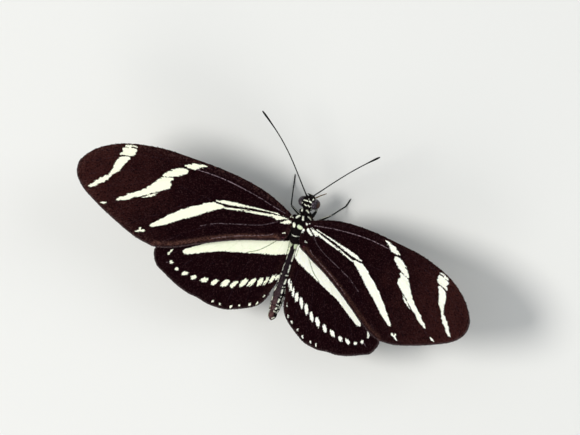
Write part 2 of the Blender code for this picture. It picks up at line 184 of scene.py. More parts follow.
HINDWING_VEINS = (
    ((2.9, 9.3), (7.0, 9.6), (14.0, 12.3), (20.0, 16.3), (25.2, 20.4)),
    ((2.9, 9.7), (6.5, 10.6), HIND_CELL_UPPER, (16.5, 16.0), (25.1, 22.9)),
    (HIND_CELL_UPPER, HIND_CELL_MIDDLE, HIND_CELL_LOWER),
    (HIND_CELL_UPPER, (16.0, 17.9), (22.0, 25.1)),
    (HIND_CELL_MIDDLE, (14.2, 19.6), (17.9, 26.9)),
    ((2.6, 10.2), (3.85, 11.65), (4.95, 13.1), (7.0, 14.8), HIND_CELL_LOWER, (12.0, 21.0), (13.1, 27.6)),
    ((7.0, 14.8), (8.6, 20.8), (9.4, 27.3)),
    ((4.95, 13.1), (5.3, 19.5), (5.8, 25.8)),
    ((2.3, 11.1), (2.9, 15.5), (3.1, 20.0), (3.4, 24.3)),
)
# The pale bands and spots, as outlines in the plane of the wing
FOREWING_BANDS = (
    (
        (2.75, 6.3), (4.1, 6.32), (5.2, 6.5), (6.75, 6.77), (8.3, 7.05), (9.8, 7.35), (11.3, 7.61),
        (12.6, 7.87), (13.9, 8.16), (14.7, 8.32), (15.25, 8.6), (15.2, 8.7), (14.5, 8.58), (13.2, 8.28),
        (11.8, 8.02), (10.3, 7.79), (8.9, 7.57), (7.7, 7.36), (6.5, 7.16), (5.5, 6.98), (5.1, 7.2),
        (4.75, 7.32), (4.25, 7.08), (3.75, 6.82), (3.2, 6.5),
    ),
    (
        (2.15, 6.55), (2.7, 6.55), (3.2, 6.95), (3.95, 7.42), (3.75, 7.58), (3.1, 7.48), (2.45, 7.22),
        (2.0, 6.95),
    ),
    (
        (4.7, 6.02), (5.7, 6.06), (7.2, 6.18), (8.6, 6.33), (10.7, 6.53), (12.5, 6.7), (13.8, 6.86),
        (15.0, 7.05), (16.3, 7.3), (17.2, 7.68), (17.3, 7.82), (17.1, 7.9), (16.1, 7.85), (15.0, 7.82),
        (13.9, 7.63), (12.8, 7.38), (11.4, 7.08), (9.9, 6.8), (8.4, 6.6), (7.1, 6.38), (6.0, 6.23),
        (4.8, 6.16),
    ),
    (
        (15.4, 8.38), (16.7, 8.25), (17.95, 8.35), (19.2, 9.0), (20.5, 9.95), (22.0, 10.8), (23.2, 11.8),
        (24.7, 13.0), (26.1, 14.3), (27.5, 15.75), (28.75, 17.2), (28.3, 17.45), (26.75, 16.5),
        (25.2, 15.55), (23.6, 14.3), (21.8, 13.1), (20.1, 11.85), (18.4, 10.65), (16.9, 9.6), (15.8, 8.85),
    ),
    (
        (21.1, 1.85), (21.9, 1.8), (23.3, 2.12), (24.7, 2.65), (25.75, 3.25), (24.7, 3.42), (23.4, 3.3),
        (22.3, 2.45),
    ),
    (
        (24.55, 4.4), (24.85, 3.95), (25.7, 3.88), (27.0, 4.4), (28.1, 5.25), (28.85, 5.9), (29.3, 6.72),
        (28.1, 6.48), (26.8, 6.12), (25.4, 5.25),
    ),
    (
        (27.0, 6.5), (28.0, 6.66), (29.2, 7.1), (29.95, 7.7), (30.5, 8.6), (31.4, 9.9), (32.8, 11.2),
        (34.5, 12.5), (36.0, 13.6), (36.95, 14.5), (36.3, 14.6), (34.75, 13.85), (33.3, 12.85),
        (32.0, 12.1), (30.7, 11.1), (29.3, 10.15), (27.8, 9.2), (27.15, 8.65), (27.05, 8.0), (27.4, 7.3),
    ),
    ((29.3, 10.42), (30.2, 11.0), (31.2, 11.75), (32.2, 12.45), (31.1, 12.1), (30.0, 11.4)),
    ((36.1, 2.95), (37.1, 2.98), (38.3, 3.5), (38.15, 3.7), (37.0, 3.42), (36.05, 3.15)),
    (
        (35.95, 3.5), (36.4, 3.5), (37.7, 3.78), (38.7, 4.1), (38.75, 4.4), (38.4, 4.75), (39.0, 5.4),
        (38.7, 5.6), (37.3, 5.3), (36.15, 4.92), (35.85, 4.2),
    ),
    (
        (36.75, 5.38), (38.2, 5.82), (38.85, 6.5), (39.3, 7.5), (39.4, 8.6), (39.65, 9.85), (39.1, 9.8),
        (37.95, 8.85), (37.55, 7.5), (37.0, 6.3),
    ),
    (
        (39.2, 10.0), (39.8, 10.2), (40.8, 11.2), (41.9, 12.35), (42.9, 13.8), (42.1, 13.6), (40.9, 12.5),
        (39.9, 11.5), (39.35, 10.7),
    ),
    (
        (29.35, 18.6), (29.75, 18.4), (30.1, 18.62), (30.35, 18.25), (30.6, 18.4), (30.55, 18.85),
        (31.2, 19.45), (30.6, 19.3), (30.1, 19.0), (29.6, 18.95),
    ),
    ((38.45, 15.78), (38.9, 15.78), (39.65, 16.15), (39.3, 16.28), (38.8, 16.08)),
)
HINDWING_BAND = (
    (0.8, 10.45), (1.9, 10.95), (3.1, 11.3), (4.3, 11.6), (6.0, 12.15), (9.2, 12.8), (12.6, 14.1),
    (15.5, 15.6), (18.1, 17.5), (19.8, 18.75), (21.0, 19.55), (21.25, 20.2), (20.7, 20.42), (19.8, 20.15),
    (18.2, 19.42), (16.4, 18.6), (14.5, 17.72), (12.6, 17.05), (10.6, 16.5), (8.8, 15.95), (6.8, 15.3),
    (4.9, 14.85), (2.9, 14.2), (1.5, 13.65), (0.9, 13.3), (0.7, 12.3),
)
# Oval spots: u, v, half length, half width, and the way they point in degrees
FOREWING_SPOTS = (
    (2.72, 9.33, 0.31, 0.1, 8.0), (2.32, 5.48, 0.17, 0.11, 0.0), (1.68, 6.0, 0.17, 0.14, 60.0),
    (1.22, 7.36, 0.42, 0.27, 115.0),
)
HINDWING_SPOTS = (
    (23.45, 20.85, 0.68, 0.15, 75.0), (23.75, 21.5, 0.34, 0.25, 100.0), (22.75, 23.05, 0.36, 0.32, 0.0),
    (21.35, 23.9, 0.36, 0.32, 0.0), (19.4, 24.28, 0.62, 0.37, 10.0), (17.55, 24.4, 0.55, 0.42, 35.0),
    (15.25, 24.15, 0.88, 0.46, 35.0), (13.25, 23.95, 0.86, 0.42, 52.0), (11.05, 23.3, 0.97, 0.54, 54.0),
    (9.3, 22.9, 1.08, 0.42, 58.0), (7.55, 21.95, 1.08, 0.47, 63.0), (5.95, 21.25, 1.08, 0.41, 61.0),
    (4.4, 20.6, 1.02, 0.47, 72.0), (3.32, 20.0, 0.95, 0.26, 72.0), (2.32, 19.2, 0.92, 0.34, 71.0),
    (1.5, 18.6, 0.62, 0.24, 72.0), (12.3, 27.75, 0.3, 0.18, 60.0), (10.8, 27.75, 0.27, 0.17, 60.0),
    (8.55, 27.45, 0.3, 0.2, 60.0), (6.95, 26.65, 0.3, 0.19, 60.0), (5.05, 25.75, 0.3, 0.2, 60.0),
    (3.75, 25.0, 0.34, 0.2, 66.0), (2.75, 23.1, 0.26, 0.13, 70.0),
)
# Small crimson spots by the roots of both wings
FOREWING_RED = ((2.62, 10.3, 0.15, 0.11, 30.0),)
HINDWING_RED = ((2.7, 9.55, 0.2, 0.14, 0.0), (3.3, 10.75, 0.24, 0.17, 40.0))
# How much further out the marks lie on the right wing than on the left one, by half: near the
# root, and past it
FOREWING_SHIFT = (0.36, 0.0)
HINDWING_SHIFT = (0.15, 0.12)
SHIFT_FADE = (3.5, 5.5)
# Pale lines of painted highlight (painted glints) along some veins and folds, each after how bright it is
FOREWING_GLINT_LINES = (
    (1.0, ((3.6, 5.48), (4.8, 5.22), (6.9, 4.74), (10.2, 4.03), (14.7, 3.38), (18.1, 3.1), (24.0, 3.12))),
    (0.42, (
        (4.5, 7.6), (5.4, 8.3), (6.4, 8.95), (7.9, 9.65), (9.8, 10.25), (12.0, 10.9), (14.0, 11.55),
        (16.1, 12.25), (18.9, 13.75),
    )),
    (0.55, (
        (4.5, 10.25), (5.4, 10.9), (6.6, 11.4), (8.5, 12.15), (9.8, 12.6), (11.5, 13.3), (14.1, 14.5),
        (16.2, 15.55),
    )),
)
HINDWING_GLINT_LINES = ((0.7, ((23.0, 23.0), (24.0, 23.6))),)
# Olive lines over the hindwing's band; the forewing shows none, and its own lies under the thorax
HINDWING_OLIVE_LINES = (
    ((2.6, 10.2), (3.85, 11.6), (5.3, 13.3), (6.9, 14.75), (8.6, 15.7)),
    ((1.3, 10.9), (1.2, 12.0), (1.15, 13.3)),
)
FOREWING_OLIVE_LINES = (((0.0, 6.0), (0.4, 6.0)),)
# Colours of the dark ground and of what lies over it, and then of what lies over the bands
VEIN_BROWN = (0.034, 0.019, 0.026)
EDGE_DUST = (0.12, 0.058, 0.050)
EDGE_LINE = (0.09, 0.066, 0.068)
VEIN_GLINT = (0.30, 0.22, 0.25)
LIGHTEST_SCALES = (0.045, 0.021, 0.022)
DARKEST_SCALES = (0.0035, 0.0010, 0.0016)
CRIMSON = (0.20, 0.035, 0.065)
BAND_GREEN = (0.60, 0.82, 0.42)
BAND_VEIN = (0.40, 0.46, 0.22)
BAND_OLIVE = (0.13, 0.20, 0.045)
BAND_SHADE = (0.97, 0.98, 0.92)
MARK_EDGE = 0.02
FILM_SHADE = 0.45


def unit(ways):
    """The same ways, each one long."""
    return ways / np.maximum(np.linalg.norm(ways, axis=-1, keepdims=True), 1e-9)


def crosswise(ways):
    """Ways in the plane of the wing, turned a quarter round."""
    return np.stack((-ways[:, 1], ways[:, 0]), 1)


def smooth_line(points, steps, closed=False):
    """A smooth curve through the points, with this many steps between two of them."""
    points = np.array(points, float)
    if closed:
        longer = np.vstack((points[-1:], points, points[:2]))
    else:
        longer = np.vstack((2.0 * points[:1] - points[1:2], points, 2.0 * points[-1:] - points[-2:-1]))
    before, start, end, after = (longer[i:len(longer) - 3 + i, None] for i in range(4))
    t = np.linspace(0.0, 1.0, steps, endpoint=False)[:, None]
    curve = 0.5 * (
        2.0 * start
        + (end - before) * t
        + (2.0 * before - 5.0 * start + 4.0 * end - after) * t**2
        + (3.0 * start - before - 3.0 * end + after) * t**3
    )
    curve = curve.reshape(-1, points.shape[1])
    return curve if closed else np.vstack((curve, points[-1:]))


def reach_along(line):
    """How far along a line each of its points lies."""
    return np.concatenate(((0.0,), np.cumsum(np.linalg.norm(np.diff(line, axis=0), axis=1))))


def at_reach(line, places):
    """The points that lie these distances along a line."""
    reached = reach_along(line)
    return np.stack([np.interp(places, reached, column) for column in line.T], 1)


def even_line(line, pitch):
    """The same line with its points a fixed distance apart."""
    length = reach_along(line)[-1]
    return at_reach(line, np.linspace(0.0, length, max(2, int(round(length / pitch)) + 1)))


def even_rim(plan, pitch):
    """The outline of a wing with its points a fixed distance apart."""
    return even_line(np.vstack((plan.outline, plan.outline[:1])), pitch)[:-1]


def spans_of(lines):
    """The starts and ends of all short spans of these lines."""
    return np.vstack([line[:-1] for line in lines]), np.vstack([line[1:] for line in lines])


def nearest_span(points, spans):
    """How far each point is from the nearest span, and which span that is."""
    starts, ends = spans
    along = ends - starts
    square = np.maximum((along**2).sum(1), 1e-12)
    distance, which = np.empty(len(points)), np.empty(len(points), int)
    for first in range(0, len(points), POINTS_AT_ONCE):
        some = slice(first, first + POINTS_AT_ONCE)
        offset = points[some, None] - starts
        t = np.clip((offset * along).sum(2) / square, 0.0, 1.0)
        gap = np.linalg.norm(offset - along * t[..., None], axis=2)
        distance[some], which[some] = gap.min(1), gap.argmin(1)
    return distance, which


def depth_inside(points, outline):
    """How deep each point lies inside a closed outline, negative outside."""
    ends = np.roll(outline, -1, 0)
    distance, _ = nearest_span(points, (outline, ends))
    x, y = points[:, :1], points[:, 1:]
    crosses = (outline[:, 1] > y) != (ends[:, 1] > y)
    rise = np.where(ends[:, 1] == outline[:, 1], 1e-9, ends[:, 1] - outline[:, 1])
    meets = outline[:, 0] + (y - outline[:, 1]) / rise * (ends[:, 0] - outline[:, 0])
    odd = (crosses & (x < meets)).sum(1) % 2 == 1
    return np.where(odd, distance, -distance)


def spot_depth(points, spot):
    """How deep each point lies inside an oval spot, negative outside."""
    u, v, half_length, half_width, pointing = spot
    c, s = math.cos(math.radians(pointing)), math.sin(math.radians(pointing))
    du, dv = points[:, 0] - u, points[:, 1] - v
    along, across = (du * c + dv * s) / half_length, (dv * c - du * s) / half_width
    return (1.0 - np.hypot(along, across)) * half_width


def wing_place(side, uv, above, plan):
    """Points of a wing over the floor: a plane that rises from the body, with a slight arch.

    The hindwing's inner edge is tucked down against the side of the abdomen.
    """
    u, v = uv.T
    across = np.cos(math.pi * (v - ARCH_MIDDLE) / ARCH_LENGTH)
    height = above + ARCH * (across - (u / WINGSPAN_HALF) ** 2)
    x = u * math.cos(WING_RISE) - height * math.sin(WING_RISE)
    tuck = plan.tuck * np.clip((TUCK_STARTS - u) / TUCK_WIDTH, 0.0, 1.0) ** 2
    z = u * math.sin(WING_RISE) + height * math.cos(WING_RISE) - plan.drop - tuck
    return set_down(np.stack((side * x, -v, z), 1))


def half_thickness(uv, plan):
    """How far the film's surface lies from its middle, which is more over a vein."""
    distance, _ = nearest_span(uv, plan.vein_spans)
    share = np.clip(uv[:, 0] / plan.reach, 0.0, 1.0) ** VEIN_TAPER
    radius = VEIN_RADIUS_AT_ROOT + (VEIN_RADIUS_AT_EDGE - VEIN_RADIUS_AT_ROOT) * share
    round_part = np.sqrt(np.maximum(radius**2 - np.minimum(distance, radius) ** 2, 0.0))
    return FILM_HALF_THICKNESS + round_part * VEIN_RELIEF


def folds(uv, plan):
    """The film sinks a little between two veins, alike on both faces."""
    distance, _ = nearest_span(uv, plan.vein_spans)
    return -FOLD_DEPTH * np.clip(distance / FOLD_REACH, 0.0, 1.0) ** 2


def markings(uv, plan, side):
    """The pattern of one wing at these places, as named numbers for the scale colours."""
    at = uv.copy()
    at[:, 0] -= side * np.interp(uv[:, 0], SHIFT_FADE, plan.shift)
    pale = [depth_inside(at, band) for band in plan.bands] + [spot_depth(at, spot) for spot in plan.spots]
    line_gap, line_at = nearest_span(at, plan.line_spans)
    tints = {word: np.full(len(uv), pair[int(side > 0)]) for word, pair in plan.tints.items()}
    return {
        "pale": np.max(pale, 0),
        "red": np.max([spot_depth(at, spot) for spot in plan.red_spots], 0),
        "vein": nearest_span(uv, plan.vein_spans)[0],
        "line": line_gap,
        "glint": plan.glints[line_at],
        "olive": nearest_span(at, plan.olive_spans)[0],
        "edge": depth_inside(uv, plan.outline),
        "inner": nearest_span(uv, plan.inner_spans)[0],
        "out": uv[:, 0] / plan.reach * plan.lightening,
        **tints,
    }


def wing_plan(outline, veins, bands, lines, olive, inner, **facts):
    """All that a left and a right wing of one kind have in common."""
    veins = [smooth_line(vein, 8) for vein in veins]
    return SimpleNamespace(
        outline=smooth_line(outline, 8, closed=True),
        reach=max(point[0] for point in outline),
        veins=veins,
        vein_spans=spans_of(veins),
        bands=[smooth_line(band, 3, closed=True) for band in bands],
        line_spans=spans_of([smooth_line(line, 6) for _, line in lines]),
        glints=np.concatenate([np.full(6 * (len(line) - 1), glint) for glint, line in lines]),
        olive_spans=spans_of([smooth_line(line, 6) for line in olive]),
        inner_spans=spans_of([smooth_line(inner, 6)]),
        **facts,
    )


# The hinge is where the veins start, and the rows of scales are arcs round the fan's point. The tints
# say how far each colour shows on the left and on the right wing.
forewing_plan = wing_plan(
    FOREWING, FOREWING_VEINS, FOREWING_BANDS, FOREWING_GLINT_LINES, FOREWING_OLIVE_LINES, FOREWING[19:-4],
    kind="forewing", drop=0.0, tuck=0.0, hinge=(1.5, 7.0), fan=(-8.0, 4.0), seed=11,
    spots=FOREWING_SPOTS, red_spots=FOREWING_RED, shift=FOREWING_SHIFT, lightening=1.0,
    tints={"cream": (1.0, 0.2), "green": (0.03, 0.0), "stripe": (1.0, 0.6), "dust": (0.7, 0.2)},
)
hindwing_plan = wing_plan(
    HINDWING, HINDWING_VEINS, (HINDWING_BAND,), HINDWING_GLINT_LINES, HINDWING_OLIVE_LINES, HINDWING[19:-2],
    kind="hindwing", drop=HINDWING_DROP, tuck=INNER_TUCK, hinge=(1.5, 10.5), fan=(-1.0, 5.0), seed=23,
    spots=HINDWING_SPOTS, red_spots=HINDWING_RED, shift=HINDWING_SHIFT, lightening=0.3,
    tints={"cream": (1.0, 0.2), "green": (0.10, 0.0), "stripe": (0.1, 0.1), "dust": (0.1, 0.15)},
)


def film_net(plan):
    """The triangles that a film is built on: its rim, rows along the veins and points evenly between."""
    rim = even_rim(plan, NET_PITCH)
    parts = []
    for vein in plan.veins:
        crest = even_line(vein, NET_PITCH)
        beside = crosswise(unit(np.gradient(crest, axis=0)))
        parts += [crest + beside * offset for offset in VEIN_ROWS]
    low, high = plan.outline.min(0), plan.outline.max(0)
    for number, v in enumerate(np.arange(low[1], high[1], NET_PITCH * NET_ROW)):
        u = np.arange(low[0] + NET_PITCH / 2.0 * (number % 2), high[0], NET_PITCH)
        row = np.stack((u, np.full(len(u), v)), 1)
        gap, _ = nearest_span(row, plan.vein_spans)
        parts.append(row[gap > VEIN_ROWS[-1] + NET_PITCH * 0.5])
    inner = np.vstack(parts)
    inner = inner[depth_inside(inner, rim) > NET_PITCH * 0.45]
    points = [Vector(point) for point in np.vstack((rim, inner))]
    edges = [(i, (i + 1) % len(rim)) for i in range(len(rim))]
    net = delaunay_2d_cdt(points, edges, [], 1, 1e-3)
    return np.array([point[:] for point in net[0]]), np.array(net[2])


def put_places(mesh, points):
    """Moves the corners of a mesh to these places."""
    mesh.vertices.foreach_set("co", np.asarray(points, np.float32).ravel())


def put_numbers(mesh, numbers):
    """Writes named numbers for each corner of a mesh."""
    for word, values in numbers.items():
        mesh.attributes.new(word, "FLOAT", "POINT").data.foreach_set("value", np.float32(values))


def make_piece(name, points, faces, numbers, finishes, face_finish=None, patches=None):
    """A piece made of arrays: corners, faces, named numbers, finishes, and a baking patch for each corner."""
    mesh = bpy.data.meshes.new(name)
    corners = np.concatenate([part.ravel() for part in faces]).astype(np.int32)
    sizes = np.concatenate([np.full(len(part), part.shape[1], np.int32) for part in faces])
    mesh.vertices.add(len(points))
    put_places(mesh, points)
    mesh.loops.add(len(corners))
    mesh.loops.foreach_set("vertex_index", corners)
    mesh.polygons.add(len(sizes))
    mesh.polygons.foreach_set("loop_start", np.cumsum(sizes, dtype=np.int32) - sizes)
    if face_finish is not None:
        mesh.polygons.foreach_set("material_index", face_finish.astype(np.int32))
    for finish in finishes:
        mesh.materials.append(finish)
    put_numbers(mesh, numbers)
    mesh.update(calc_edges=True)
    mesh.shade_smooth()
    if patches is not None:
        mesh.uv_layers.new(name="OFBake").data.foreach_set("uv", np.float32(patches[corners]).ravel())
    piece = bpy.data.objects.new(name, mesh)
    bpy.context.scene.collection.objects.link(piece)
    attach(piece, "root")
    return piece


class Finish:
    """A material of nodes. In it a word stands for the number of that name that the mesh carries."""

    def __init__(self, name):
        self.material = bpy.data.materials.new(name)
        self.material.use_nodes = True
        self.tree = self.material.node_tree

    def put(self, socket, value):
        """Gives a socket a number, a colour, the output of a node or a number of the mesh."""
        if isinstance(value, str):
            value = self.node("Attribute", output="Fac", attribute_name=value)
        if isinstance(value, bpy.types.NodeSocket):
            self.tree.links.new(value, socket)
        else:
            socket.default_value = (*value, 1.0) if isinstance(value, tuple) else value

    def node(self, kind, values=None, output=0, **settings):
        """Adds a node with these settings and inputs, and gives back one of its outputs."""
        made = self.tree.nodes.new("ShaderNode" + kind)
        for word, value in settings.items():
            setattr(made, word, value)
        for socket, value in (values or {}).items():
            self.put(made.inputs[socket], value)
        return made.outputs[output]

    def ramp(self, value, low, high):
        """0 where the value is at low or under, 1 at high or over, and smooth between."""
        return self.node("MapRange", {0: value, 1: low, 2: high}, interpolation_type="SMOOTHSTEP")

    def noise(self, size):
        """Cloudy noise between 0 and 1, with patches about this many millimetres across."""
        places = self.node("TexCoord", output="Object")
        return self.node("TexNoise", {"Vector": places, "Scale": 1.0 / (size * MILLIMETRE)})

    def clouds(self, size, low, high):
        """The same noise with its contrast raised."""
        return self.ramp(self.noise(size), low, high)

    def product(self, first, *others):
        """The product of these values."""
        for other in others:
            first = self.node("Math", {0: first, 1: other}, operation="MULTIPLY")
        return first

    def coats(self, colour, *layers):
        """Lays colours over one another, each after the shares whose product says how far it covers."""
        for *shares, over in layers:
            values = {0: self.product(*shares), 6: colour, 7: over}
            colour = self.node("Mix", values, 2, data_type="RGBA")
        return colour

    def close(self, relief, strength, depth, values):
        """Joins a relief to the shader, sets or links its other sockets, and gives back the material."""
        bump = self.node("Bump", {"Height": relief, "Strength": strength, "Distance": depth * MILLIMETRE})
        shader = self.tree.nodes["Principled BSDF"]
        for socket, value in {**values, "Normal": bump}.items():
            self.put(shader.inputs[socket], value)
        return self.material


def wing_finish(name, dark, outer, white, cream, stripe, roughness):
    """Wing scales: black-brown ground, pale bands, brown inner edge and painted highlights along veins."""
    look = Finish(name)
    # The ground gets lighter and redder towards the tip and the outer edge, in soft clouds
    outward = look.node("Math", {0: "out", 1: look.product(look.noise(4.0), 0.5)}, operation="ADD")
    inner_edge = look.product(look.ramp("inner", 1.35, 0.65), look.ramp("inner", 0.12, 0.45))
    ground = look.coats(
        dark,
        (look.ramp(outward, 0.6, 1.5), outer),
        (look.ramp("vein", 0.16, 0.02), look.clouds(0.7, 0.4, 0.7), 0.5, VEIN_BROWN),
        (inner_edge, look.clouds(0.5, 0.2, 0.7), "stripe", stripe),
        (look.ramp("edge", 1.7, 0.1), look.clouds(0.45, 0.4, 0.85), "dust", EDGE_DUST),
        (look.ramp("edge", 0.1, 0.0), 0.5, EDGE_LINE),
        # Painted glint: lilac-grey lines of painted highlight along some veins and folds
        (look.ramp("line", 0.1, 0.03), "glint", look.clouds(0.5, 0.3, 0.55), VEIN_GLINT),
        (look.ramp("shade", 0.7, 1.0), 0.6, LIGHTEST_SCALES),
        (look.ramp("shade", 0.3, 0.0), DARKEST_SCALES),
        (look.ramp("red", -MARK_EDGE, MARK_EDGE), CRIMSON),
    )
    # Single scales differ a little in the bands too, and thin lines cross the hindwing's in olive
    band = look.coats(
        white,
        ("cream", cream),
        (look.ramp("shade", 0.6, 0.0), 0.8, tuple(np.multiply(cream, BAND_SHADE))),
        ("green", look.clouds(1.3, 0.35, 0.7), BAND_GREEN),
        (look.ramp("vein", 0.1, 0.02), 0.12, BAND_VEIN),
        (look.ramp("olive", 0.11, 0.03), 0.85, BAND_OLIVE),
    )
    colour = look.coats(ground, (look.ramp("pale", -MARK_EDGE, MARK_EDGE), band))
    # The relief is the fine grain of ribs along the scales
    return look.close(look.noise(0.12), 0.35, 0.04, {
        "Base Color": colour, "Roughness": roughness, "Specular IOR Level": 0.005, "Sheen Weight": 0.002,
        "Sheen Roughness": 0.45, "Sheen Tint": (0.75, 0.62, 0.78),
    })


upper_finish = wing_finish(
    "wing_scales_upper", (0.0076, 0.0014, 0.0024), (0.045, 0.0130, 0.0108), (0.94, 0.95, 0.93),
    (0.96, 0.97, 0.80), (0.105, 0.047, 0.034), 0.62,
)
under_finish = wing_finish(
    "wing_scales_under", (0.030, 0.015, 0.012), (0.080, 0.044, 0.031), (0.80, 0.77, 0.55),
    (0.80, 0.77, 0.55), (0.11, 0.065, 0.045), 0.66,
)


def wing_film(name, side, plan, net):
    """The film of one wing with its veins, closed all round."""
    uv, triangles = net
    count = len(uv)
    half = half_thickness(uv, plan) * np.clip(depth_inside(uv, plan.outline) / FILM_TAPER, 0.5, 1.0)
    middle = folds(uv, plan)
    points = [wing_place(side, uv, middle + way * half, plan) for way in (1.0, -1.0)]
    ways = np.concatenate([triangles[:, [0, 1]], triangles[:, [1, 2]], triangles[:, [2, 0]]])
    rim = ways[~np.isin(ways @ (count, 1), ways @ (1, count))]
    wall = np.stack((rim[:, 1], rim[:, 0], rim[:, 0] + count, rim[:, 1] + count), 1)
    # v runs back, so the net as it is drawn faces down on the right and up on the left
    faces = [triangles, triangles[:, ::-1] + count, wall]
    if side > 0:
        faces = [part[:, ::-1] for part in faces]
    numbers = {word: np.tile(values, 2) for word, values in markings(uv, plan, side).items()}
    numbers["shade"] = np.full(2 * count, FILM_SHADE)
    which = np.repeat((0, 1, 0), [len(part) for part in faces])
    film = make_piece(name, np.vstack(points), faces, numbers, (upper_finish, under_finish), which)
    return film


nets = {plan.kind: film_net(plan) for plan in (forewing_plan, hindwing_plan)}
for word, side in SIDES:
    for plan in (forewing_plan, hindwing_plan):
        film = wing_film(f"{plan.kind}_film_{word}", side, plan, nets[plan.kind])
        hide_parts(f"{plan.kind}_{word}")

# Wing scales. Rows of tiny flat scales cover both faces of each wing like roof tiles, rooted in the
# film and pointing to the outer edge. Every scale is wholly pale or wholly dark.
SCALE_LENGTH = 0.27
SCALE_WIDTH = 0.145
# share of the length, share of the width, share of the lift
SCALE_SHAPE = (
    (0.0, -0.25, -0.3), (0.0, 0.25, -0.3), (0.42, -0.5, 0.75), (0.42, 0.5, 0.75), (1.0, -0.36, 1.0),
    (1.0, 0.36, 1.0),
)
SCALE_LIFT = 0.035
SCALE_CLEARANCE = 0.004
SCALE_SHOWS_AT = 0.17
SCALE_TURN = 0.12
SCALE_SCATTER = 0.3
ROW_PITCH_UPPER = 0.165
ROW_PITCH_UNDER = 0.205
SCALE_PITCH = 0.122
FAN_ANGLES = (-1.2, 1.9)
VEIN_PULL = 1.0
FRINGE_PITCH = 0.085
FRINGE_SIZE = 1.15
FRINGE_LEAN = 0.45
# A mark's edge is toothed: the scales of one small cell of the fan move it together
TOOTH_DEPTH = 0.06
TOOTH_COUNT = 4096
TEETH_A_RADIAN = 150.0
TOOTH_REACH = 3.0
BAKE_PATCH = 0.003
BAKE_WIDTH = 50.0
BAKE_MARGIN = 0.02


def scale_roots(plan, row_pitch, chance):
    """Roots of the scales, in arcs round the fan's point, each a little out of place."""
    low, high = plan.outline.min(0), plan.outline.max(0)
    far = max(math.dist(plan.fan, (u, v)) for u in (low[0], high[0]) for v in (low[1], high[1]))
    rows = []
    for number, radius in enumerate(np.arange(1.0, far, row_pitch)):
        step = SCALE_PITCH * row_pitch / ROW_PITCH_UPPER / radius
        angle = np.arange(*FAN_ANGLES, step) + step * 0.5 * (number % 2)
        row = plan.fan + radius * np.stack((np.cos(angle), np.sin(angle)), 1)
        rows.append(row[((row >= low) & (row <= high)).all(1)])
    roots = np.vstack(rows)
    roots += chance.uniform(-SCALE_SCATTER, SCALE_SCATTER, roots.shape) * row_pitch
    return roots[depth_inside(roots, plan.outline) > 0.02]


def flow(uv, plan):
    """The way the scales point: outward along the veins nearby."""
    starts, ends = plan.vein_spans
    along = unit(ends - starts)
    middles = (starts + ends) / 2.0
    inward = (along * (middles - plan.hinge)).sum(1) < 0.0
    along[inward] *= -1.0
    way = np.empty_like(uv)
    for first in range(0, len(uv), POINTS_AT_ONCE):
        some = slice(first, first + POINTS_AT_ONCE)
        square = ((uv[some, None] - middles) ** 2).sum(2)
        way[some] = (1.0 / (square + VEIN_PULL) ** 2) @ along
    return unit(way)


def fringe_roots(plan, chance):
    """Roots and ways of the scales that stand out past the outer and inner edges of a wing."""
    rim = even_rim(plan, FRINGE_PITCH)
    out = -crosswise(unit(np.roll(rim, -1, 0) - np.roll(rim, 1, 0)))
    back = (out[:, 1] > -0.35) & (rim[:, 0] > 1.9)
    rim, out = rim[back], out[back]
    away = unit(out + FRINGE_LEAN * flow(rim, plan) + chance.normal(0.0, SCALE_TURN, rim.shape))
    return rim - out * chance.uniform(0.02, 0.10, len(rim))[:, None], away


def scale_plan(plan, row_pitch, seed):
    """Everything about one face's scales that both sides of the insect have in common."""
    chance = np.random.default_rng(seed)
    roots = scale_roots(plan, row_pitch, chance)
    fringe, fringe_way = fringe_roots(plan, chance)
    way = np.vstack((flow(roots, plan), fringe_way))
    roots = np.vstack((roots, fringe))
    count = len(roots)
    turn = chance.normal(0.0, SCALE_TURN, count)[:, None]
    way = way * np.cos(turn) + crosswise(way) * np.sin(turn)
    size = chance.normal(1.0, 0.08, count) * row_pitch / ROW_PITCH_UPPER
    size[-len(fringe):] = FRINGE_SIZE * chance.normal(1.0, 0.10, len(fringe))
    offset = roots - plan.fan
    around = np.floor(np.arctan2(offset[:, 1], offset[:, 0]) * TEETH_A_RADIAN).astype(int)
    outward = np.floor(np.hypot(*offset.T) / TOOTH_REACH).astype(int)
    ragged = chance.normal(0.0, 0.03, count)
    ragged += TOOTH_DEPTH * chance.normal(0.0, 1.0, TOOTH_COUNT)[(around * 7 + outward * 131) % TOOTH_COUNT]
    return SimpleNamespace(
        roots=roots,
        way=way,
        size=size,
        ragged=ragged,
        shade=chance.uniform(0.0, 1.0, count) ** 1.3,
        root_height=half_thickness(roots, plan),
        tip_height=half_thickness(roots + way * (SCALE_LENGTH * size)[:, None], plan),
        fold=folds(roots, plan),
        lift=chance.uniform(0.4, 1.3, count) * SCALE_LIFT,
        lean=chance.normal(0.0, 0.012, count),
    )


def make_blades(name, points, patches, turned, numbers, finish):
    """Small blades as one piece, given corner by corner, each with its own patch to bake."""
    points, patches = np.stack(points, 1), np.stack(patches, 1)
    count, corners = points.shape[:2]
    first = np.arange(count)[:, None] * corners
    faces = [first + (0, 1, 3, 2), first + ((2, 3, 5, 4) if corners == 6 else (2, 3, 4))]
    if turned:
        faces = [part[:, ::-1] for part in faces]
    numbers = {word: np.repeat(values, corners) for word, values in numbers.items()}
    points, patches = points.reshape(-1, 3), patches.reshape(-1, 2)
    return make_piece(name, points, faces, numbers, (finish,), patches=patches)


